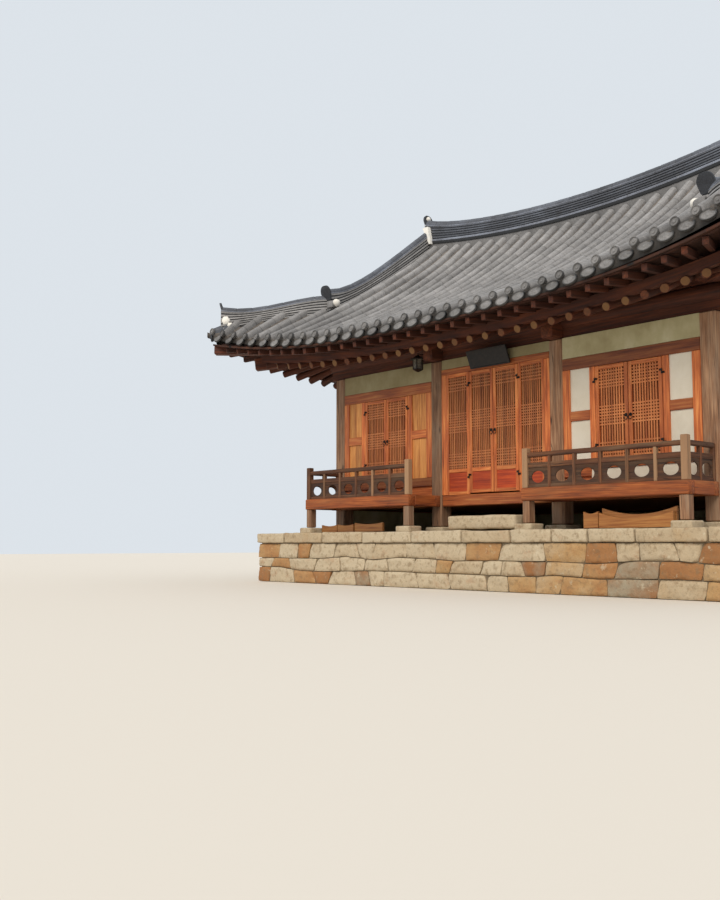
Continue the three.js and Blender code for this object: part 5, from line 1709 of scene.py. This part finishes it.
def railing(sign, name):
    parts = Parts()
    out = deckFace - railLook["post"] / 2 - railLook["inset"]
    outer = farEnd(name) - railLook["post"] / 2
    inner = deckLook["inner"] + railLook["post"] / 2 + railLook["inset"]
    railRun(parts, 0, sign * inner, sign * outer, out, railLook["panels"], True)
    back = deckRear + railLook["slat"] / 2 + .002
    railRun(parts, 1 if sign > 0 else 3, -sign * out, -sign * back, outer, railLook["returns"], False)
    parts.make(name + "_timber", "railing", replaces=[name])


for sign, name in ((-1, "left"), (1, "right")):
    deck(sign, name + "_deck")
    railing(sign, name + "_railing")

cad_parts["room_floor"].data.materials.clear()
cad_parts["room_floor"].data.materials.append(finishes["boards"])
print("decks built")


# Stonework


stonework = {
    "courses": (0, .235, .44, .67), "waver": .045, "knots": .6, "joint": .01, "depth": .16, "bulge": .016,
    "roughness": .011, "widths": (.3, .8), "pitch": .52, "tilt": .05, "lean": .01,
    "capHigh": .19, "lip": .025, "capDeep": .42, "capPitch": .85, "capWidths": (.65, 1.3), "capGap": .004,
    "capTones": (0, .06, .12, .2, .26),
}


def jointsOf(widths, length):
    # Joints between stones of these shares of a length, from its left end
    return np.concatenate([[0], np.cumsum(widths)]) / widths.sum() * length - length / 2


def rubble(parts, side, length, face, seed):
    # Courses of stones: a grid on each, its corners rounded by 1 - .04|ab|^3, its face swollen in the middle
    source = np.random.default_rng(seed)
    look = stonework
    courses = look["courses"]
    a = np.linspace(-1, 1, 10)[None, None, :]
    b = np.linspace(-1, 1, 8)[None, :, None]
    rounding = 1 - .04 * np.abs(a * b) ** 3
    knots = np.arange(-length / 2, length / 2 + look["knots"], look["knots"])
    waver = source.uniform(-look["waver"], look["waver"], (len(courses), len(knots)))
    waver[[0, -1]] = 0
    for level in range(len(courses) - 1):
        widths = source.uniform(*look["widths"], round(length / look["pitch"]))
        joints = jointsOf(widths, length)
        centre = ((joints[1:] + joints[:-1]) / 2)[:, None, None]
        half = ((joints[1:] - joints[:-1]) / 2 - look["joint"] / 2)[:, None, None]
        tilts = np.concatenate([[0], source.uniform(-look["tilt"], look["tilt"], len(joints) - 2), [0]])
        tilt = (tilts[:-1, None, None] * (1 - a) + tilts[1:, None, None] * (1 + a)) / 2
        s = centre + half * a * rounding + tilt * b
        low, high = [courses[row] + np.interp(s, knots, waver[row]) for row in (level, level + 1)]
        low, high = low + look["joint"] / 2, high - look["joint"] / 2
        z = (low + high) / 2 + (high - low) / 2 * b * rounding
        swell = ((1 - a ** 14) * (1 - b ** 14)) ** .5
        spots = joined(s, z, centre)
        rough = .7 * ripple(spots, .16, seed + 1) + .5 * ripple(spots, .07, seed + 2)
        rough = rough - np.abs(ripple(spots, .25, seed + 3))
        lean = source.uniform(-look["lean"], look["lean"], (2, len(widths), 1, 1))
        out = face - .014 - look["bulge"] * (1 - swell) + look["roughness"] * rough
        out = out + lean[0] * a + lean[1] * b
        front = at(side, s, np.minimum(out, face - .001), z)
        # Pale stones are common at the left, brown ones at the right
        tones = source.uniform(0, 1, len(widths)) ** np.interp(centre.ravel(), (-4, 3), (4.5, .95))
        inward = at(side, 0, -look["depth"], 0)
        for number, tone in enumerate(tones):
            stonePillow(parts, front[number], inward, tone, centre[number, 0, 0])


def stonePillow(parts, front, inward, tone, shift):
    # The front grid, walls from its border straight in, and one flat face behind
    rows, columns = front.shape[:2]
    index = np.arange(rows * columns).reshape(rows, columns)
    quads = gridQuads(rows, columns).reshape(-1, 4)
    border = np.concatenate([index[0, :-1], index[:-1, -1], index[-1, :0:-1], index[:0:-1, 0]])
    points = front.reshape(-1, 3)
    behind = points[border] + inward
    far = rows * columns + np.arange(len(border))
    walls = joined(np.roll(border, -1), border, far, np.roll(far, -1))
    everything = np.concatenate([points, behind])
    faces = outward(everything, [quads, walls, far[None]])
    parts.add(everything, faces, everything + [shift * 7.3, 0, 0], tone)


def blockTemplate(cuts):
    # The skin of a cube, a grid of cuts + 3 points a side: each point's place on the core, and its side
    last = cuts + 2
    i, j = [grid.ravel() for grid in np.meshgrid(np.arange(last), np.arange(last), indexing="ij")]
    cells = []
    for axis in range(3):
        for end in (0, last):
            quad = []
            for di, dj in ((0, 0), (1, 0), (1, 1), (0, 1)):
                point = np.zeros((len(i), 3), int)
                point[:, axis] = end
                point[:, (axis + 1) % 3] = i + di
                point[:, (axis + 2) % 3] = j + dj
                quad.append(point)
            quad = quad if end else quad[::-1]
            cells.append(np.stack(quad, 1))
    places, faces = np.unique(np.concatenate(cells).reshape(-1, 3), axis=0, return_inverse=True)
    core = np.clip((places - 1) / (last - 2), 0, 1) * 2 - 1
    skin = (places == last).astype(float) - (places == 0)
    return core, skin, faces.reshape(-1, 4)


blockCore, blockSkin, blockFaces = blockTemplate(6)


def block(parts, low, high, radius, rough, tone, seed):
    # A dressed stone: a box whose edges are rounded to one radius, its skin uneven
    low, high = np.minimum(low, high), np.maximum(low, high)
    half = (high - low) / 2 - rough
    radius = min(radius, half.min() * .8)
    reach = np.maximum(np.linalg.norm(blockSkin, axis=1, keepdims=True), 1)
    points = blockCore * (half - radius) + blockSkin / reach * radius + (low + high) / 2
    push = joined(*[ripple(points, .2, seed + i) for i in range(3)])
    fine = joined(*[ripple(points, .06, seed + 7 + i) for i in range(3)])
    points = points + rough * (.65 * push + .35 * fine).clip(-1, 1)
    parts.add(points, [blockFaces], points + rng.uniform(0, 9, 3), tone)


baseStones = {"half": .19, "high": .07, "deckHalf": .15, "deckHigh": .08, "deckEnd": .09, "deckIn": .0775}


def platform():
    # Rubble on four sides, capstones over it, a core behind both, and a base stone under each post
    high = corners("stone_platform")[1]
    look = stonework
    half = high[:2] - look["lip"]
    top = house["platformTop"]
    stones, caps, core = [Parts() for _ in range(3)]
    for side in range(4):
        halfAlong, halfAcross = half if side % 2 == 0 else half[::-1]
        length = 2 * halfAlong if side % 2 == 0 else 2 * (halfAlong - look["depth"] - .02)
        rubble(stones, side, length, halfAcross, 40 + side)
        capRow(caps, side, halfAlong + look["lip"], halfAcross + look["lip"], top)
    beam(core, 0, around(0, half[0] - .05), around(0, half[1] - .05), (.001, top - .03), bevel=.01)
    core.make("platform_core", "joint")
    stones.make("platform_rubble", "stone", replaces=["stone_platform"], sharp=60)
    caps.make("platform_capstones", "stone", sharp=60)
    postStones()


def capRow(caps, side, halfAlong, halfAcross, top):
    # Long slabs along one edge; on the short sides they stop at the others' inner edge
    look = stonework
    reach = halfAlong if side % 2 == 0 else halfAlong - look["capDeep"]
    count = round(2 * reach / look["capPitch"])
    joints = jointsOf(rng.uniform(*look["capWidths"], count), 2 * reach)
    for number in range(count):
        drop = rng.uniform(0, .012)
        back = halfAcross - look["capDeep"] + rng.uniform(0, .05)
        start = at(side, joints[number] + look["capGap"], back, top - look["capHigh"])
        end = at(side, joints[number + 1] - look["capGap"], halfAcross - rng.uniform(0, .012), top - drop)
        block(caps, start, end, .018, .009, rng.choice(look["capTones"]), 100 + 10 * number + side)


def postStones():
    parts, look = Parts(), baseStones
    third = house["bay"] / 2
    places = [sum(corners(name))[:2] / 2 for name in columnTones]
    places += [(-third, house["halfY"]), (third, house["halfY"]), (-house["halfX"], 0), (house["halfX"], 0)]
    for x, y in places:
        baseStone(parts, x, y, look["half"], look["high"])
    y = deckLook["post"] / 2 + deckLook["postIn"] - deckFace
    for sign in (-1, 1):
        for x in (deckLook["inner"] + look["deckIn"], house["halfX"] + look["deckEnd"] - look["deckIn"]):
            baseStone(parts, sign * x, y, look["deckHalf"], look["deckHigh"])
    parts.make("column_base_stones", "stone", sharp=60)


def baseStone(parts, x, y, half, high):
    low = (x - half, y - half, house["platformTop"] - .03)
    top = (x + half, y + half, house["platformTop"] + high)
    block(parts, low, top, .02, .004, rng.uniform(0, .25), int(abs(x * 10 + y)))


platform()
stepLow, stepHigh = corners("step_stone")
stepParts = Parts()
block(stepParts, stepLow, stepHigh, .03, .008, .1, 77)
stepParts.make("step_stone_slab", "stone", replaces=["step_stone"], sharp=60)
print("stonework laid")


# Name board, left bare, and the bowed planks kept under the decks


boardLook = {"tilt": .4, "wide": .79, "tall": .285, "thick": .03, "out": .206, "z": 3.5, "rim": .92,
             "sunk": .25, "bracketX": .28, "bracket": .04}


def nameBoard():
    # A dark board that leans forward, its face sunk inside a rim, on two brackets
    parts, look = Parts(), boardLook
    up = np.array([0, -math.sin(look["tilt"]), math.cos(look["tilt"])])
    centre = np.array([0, -(house["halfY"] + look["out"]), look["z"]])
    w, h = look["wide"] / 2, look["tall"] / 2
    outline = ((w, -h), (w, h), (-w, h), (-w, -h))
    plates(parts, outline, centre, (1, 0, 0), up, look["thick"], rim=look["rim"], sunk=look["sunk"])
    for x in (-look["bracketX"], look["bracketX"]):
        end = [x, -(house["halfY"] + house["wallFace"]), look["z"]]
        bar(parts, centre + [x, .01, 0], end, look["bracket"], look["bracket"], bevel=.004)
    parts.make("name_board_bare", "lacquer", replaces=["name_board"], sharp=25)


loosePlanks = (  # left end, right end, y, height, how far the middle dips
    (2.04, 2.27, -3.04, .22, .03), (2.29, 3.38, -3.05, .2, .09), (2.31, 3.4, -3.0, .26, .09),
    (-3.42, -3.02, -3.05, .12, .02), (-3.0, -2.6, -3.05, .125, .02), (-2.58, -1.9, -3.03, .145, .025),
)
plankThick = .04


def bowedPlank(parts, x0, x1, y, height, bow):
    # A plank on edge whose top dips in the middle and curls up at its ends
    # Painted shade: the planks under the decks are darkened, most under the left deck
    tone = rng.uniform(-1.3, -.9) if x0 > 0 else rng.uniform(-2, -1.6)
    x = np.linspace(x0, x1, 17)
    low = house["platformTop"] + .001
    top = low + height - bow * (1 - (2 * (x - x0) / (x1 - x0) - 1) ** 2)
    half = plankThick / 2
    section = ((-half, low), (half, low), (half, top), (-half, top))
    loft(parts, [(x, y + dy, z) for dy, z in section], [0, 2, 1], tone)


nameBoard()
planks = Parts()
for plank in loosePlanks:
    bowedPlank(planks, *plank)
planks.make("under_deck_planks", "boards")


lanternLook = {
    "x": -1.42, "out": .3, "z": 3.57, "sides": 6, "post": .007, "postAt": .082, "postZ": (-.09, .075),
    "hook": .006, "arm": .008, "armZ": .165,
    "panes": ((.06, -.085), (.078, -.08), (.082, .07), (.06, .075)),  # radius and height of each ring
    "roof": ((.13, .068), (.135, .078), (.07, .105), (.03, .14), (.012, .145)),
    "foot": ((.02, -.13), (.05, -.115), (.085, -.095), (.088, -.082), (.06, -.08)),
}


def turned(parts, centre, profile, sides):
    # A ring of so many sides for each radius and height of the profile
    profile = np.array(profile, float)
    flat = profile[:, :1, None] * circle(1, sides)
    rings = np.concatenate([flat, np.broadcast_to(profile[:, 1:, None], flat[..., :1].shape)], -1)
    parts.tube(rings + centre)


def lantern():
    # A small hanging lantern by the second column: roof, six posts, pale panes, an arm from the plate
    metal, glass = Parts(), Parts()
    look = lanternLook
    centre = np.array([look["x"], -(house["halfY"] + look["out"]), look["z"]])
    turned(glass, centre, look["panes"], look["sides"])
    turned(metal, centre, look["roof"], look["sides"])
    turned(metal, centre, look["foot"], look["sides"])
    low, high = look["postZ"]
    for u, v in circle(look["postAt"], look["sides"]):
        pole(metal, centre + [u, v, low], centre + [u, v, high], look["post"], 8)
    pole(metal, centre + [0, 0, .14], centre + [0, 0, .17], look["hook"], 8)
    wall = (look["x"], -(house["halfY"] + .04), look["z"] + look["armZ"])
    pole(metal, centre + [0, -.01, look["armZ"]], wall, look["arm"], 8)
    metal.make("column_lantern_frame", "iron")
    glass.make("column_lantern_panes", "glass")


lantern()
print("small pieces made")


# Floor, light and camera


studio = {
    "floorHalf": 60, "floorZ": -.002, "floor": rgb(216, 208, 196), "sky": (.88, .94, 1, 1), "skyPower": .82,
    "sunPower": 2.3, "sunAngle": 40, "sunColour": (1, .91, .79), "sunTurn": (48, 0, 28),
}
view = {"place": (10.19, -14.18, .643), "turn": (95.34, 0, 48.63), "sensor": 36, "lens": 40.6, "far": 300}


def studioFloor():
    half, z = studio["floorHalf"], studio["floorZ"]
    mesh = bpy.data.meshes.new("studio_floor")
    corner = ((-half, -half, z), (half, -half, z), (half, half, z), (-half, half, z))
    mesh.from_pydata(corner, [], [(0, 1, 2, 3)])
    f = Finish("studio")
    mesh.materials.append(f.done(studio["floor"], .9, f.noise(f.place(), 3), .001))
    floor = bpy.data.objects.new("studio_floor", mesh)
    link(floor)
    floor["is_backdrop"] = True


def studioLight():
    world = bpy.data.worlds.new("studio_sky")
    bpy.context.scene.world = world
    world.use_nodes = True
    background = world.node_tree.nodes["Background"].inputs
    background["Color"].default_value = studio["sky"]
    background["Strength"].default_value = studio["skyPower"]
    sun = bpy.data.lights.new("soft_sun", "SUN")
    sun.energy = studio["sunPower"]
    sun.angle = math.radians(studio["sunAngle"])
    sun.color = studio["sunColour"]
    lamp = bpy.data.objects.new("soft_sun", sun)
    lamp.rotation_euler = [math.radians(angle) for angle in studio["sunTurn"]]
    link(lamp)


def camera():
    # The photograph's place: a little above the ground in front of the right corner, turned to the left
    data = bpy.data.cameras.new("photo_view")
    data.sensor_width = view["sensor"]
    data.lens = view["lens"]
    data.clip_end = view["far"]
    eye = bpy.data.objects.new("photo_view", data)
    eye.location = view["place"]
    eye.rotation_euler = [math.radians(angle) for angle in view["turn"]]
    link(eye)
    bpy.context.scene.camera = eye


studioFloor()
studioLight()
camera()
bpy.context.scene.view_settings.view_transform = "Standard"

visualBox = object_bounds()
boxes = {"cad": cadBox, "visual": visualBox}
{name: [list(corner) for corner in box] for name, box in boxes.items()}
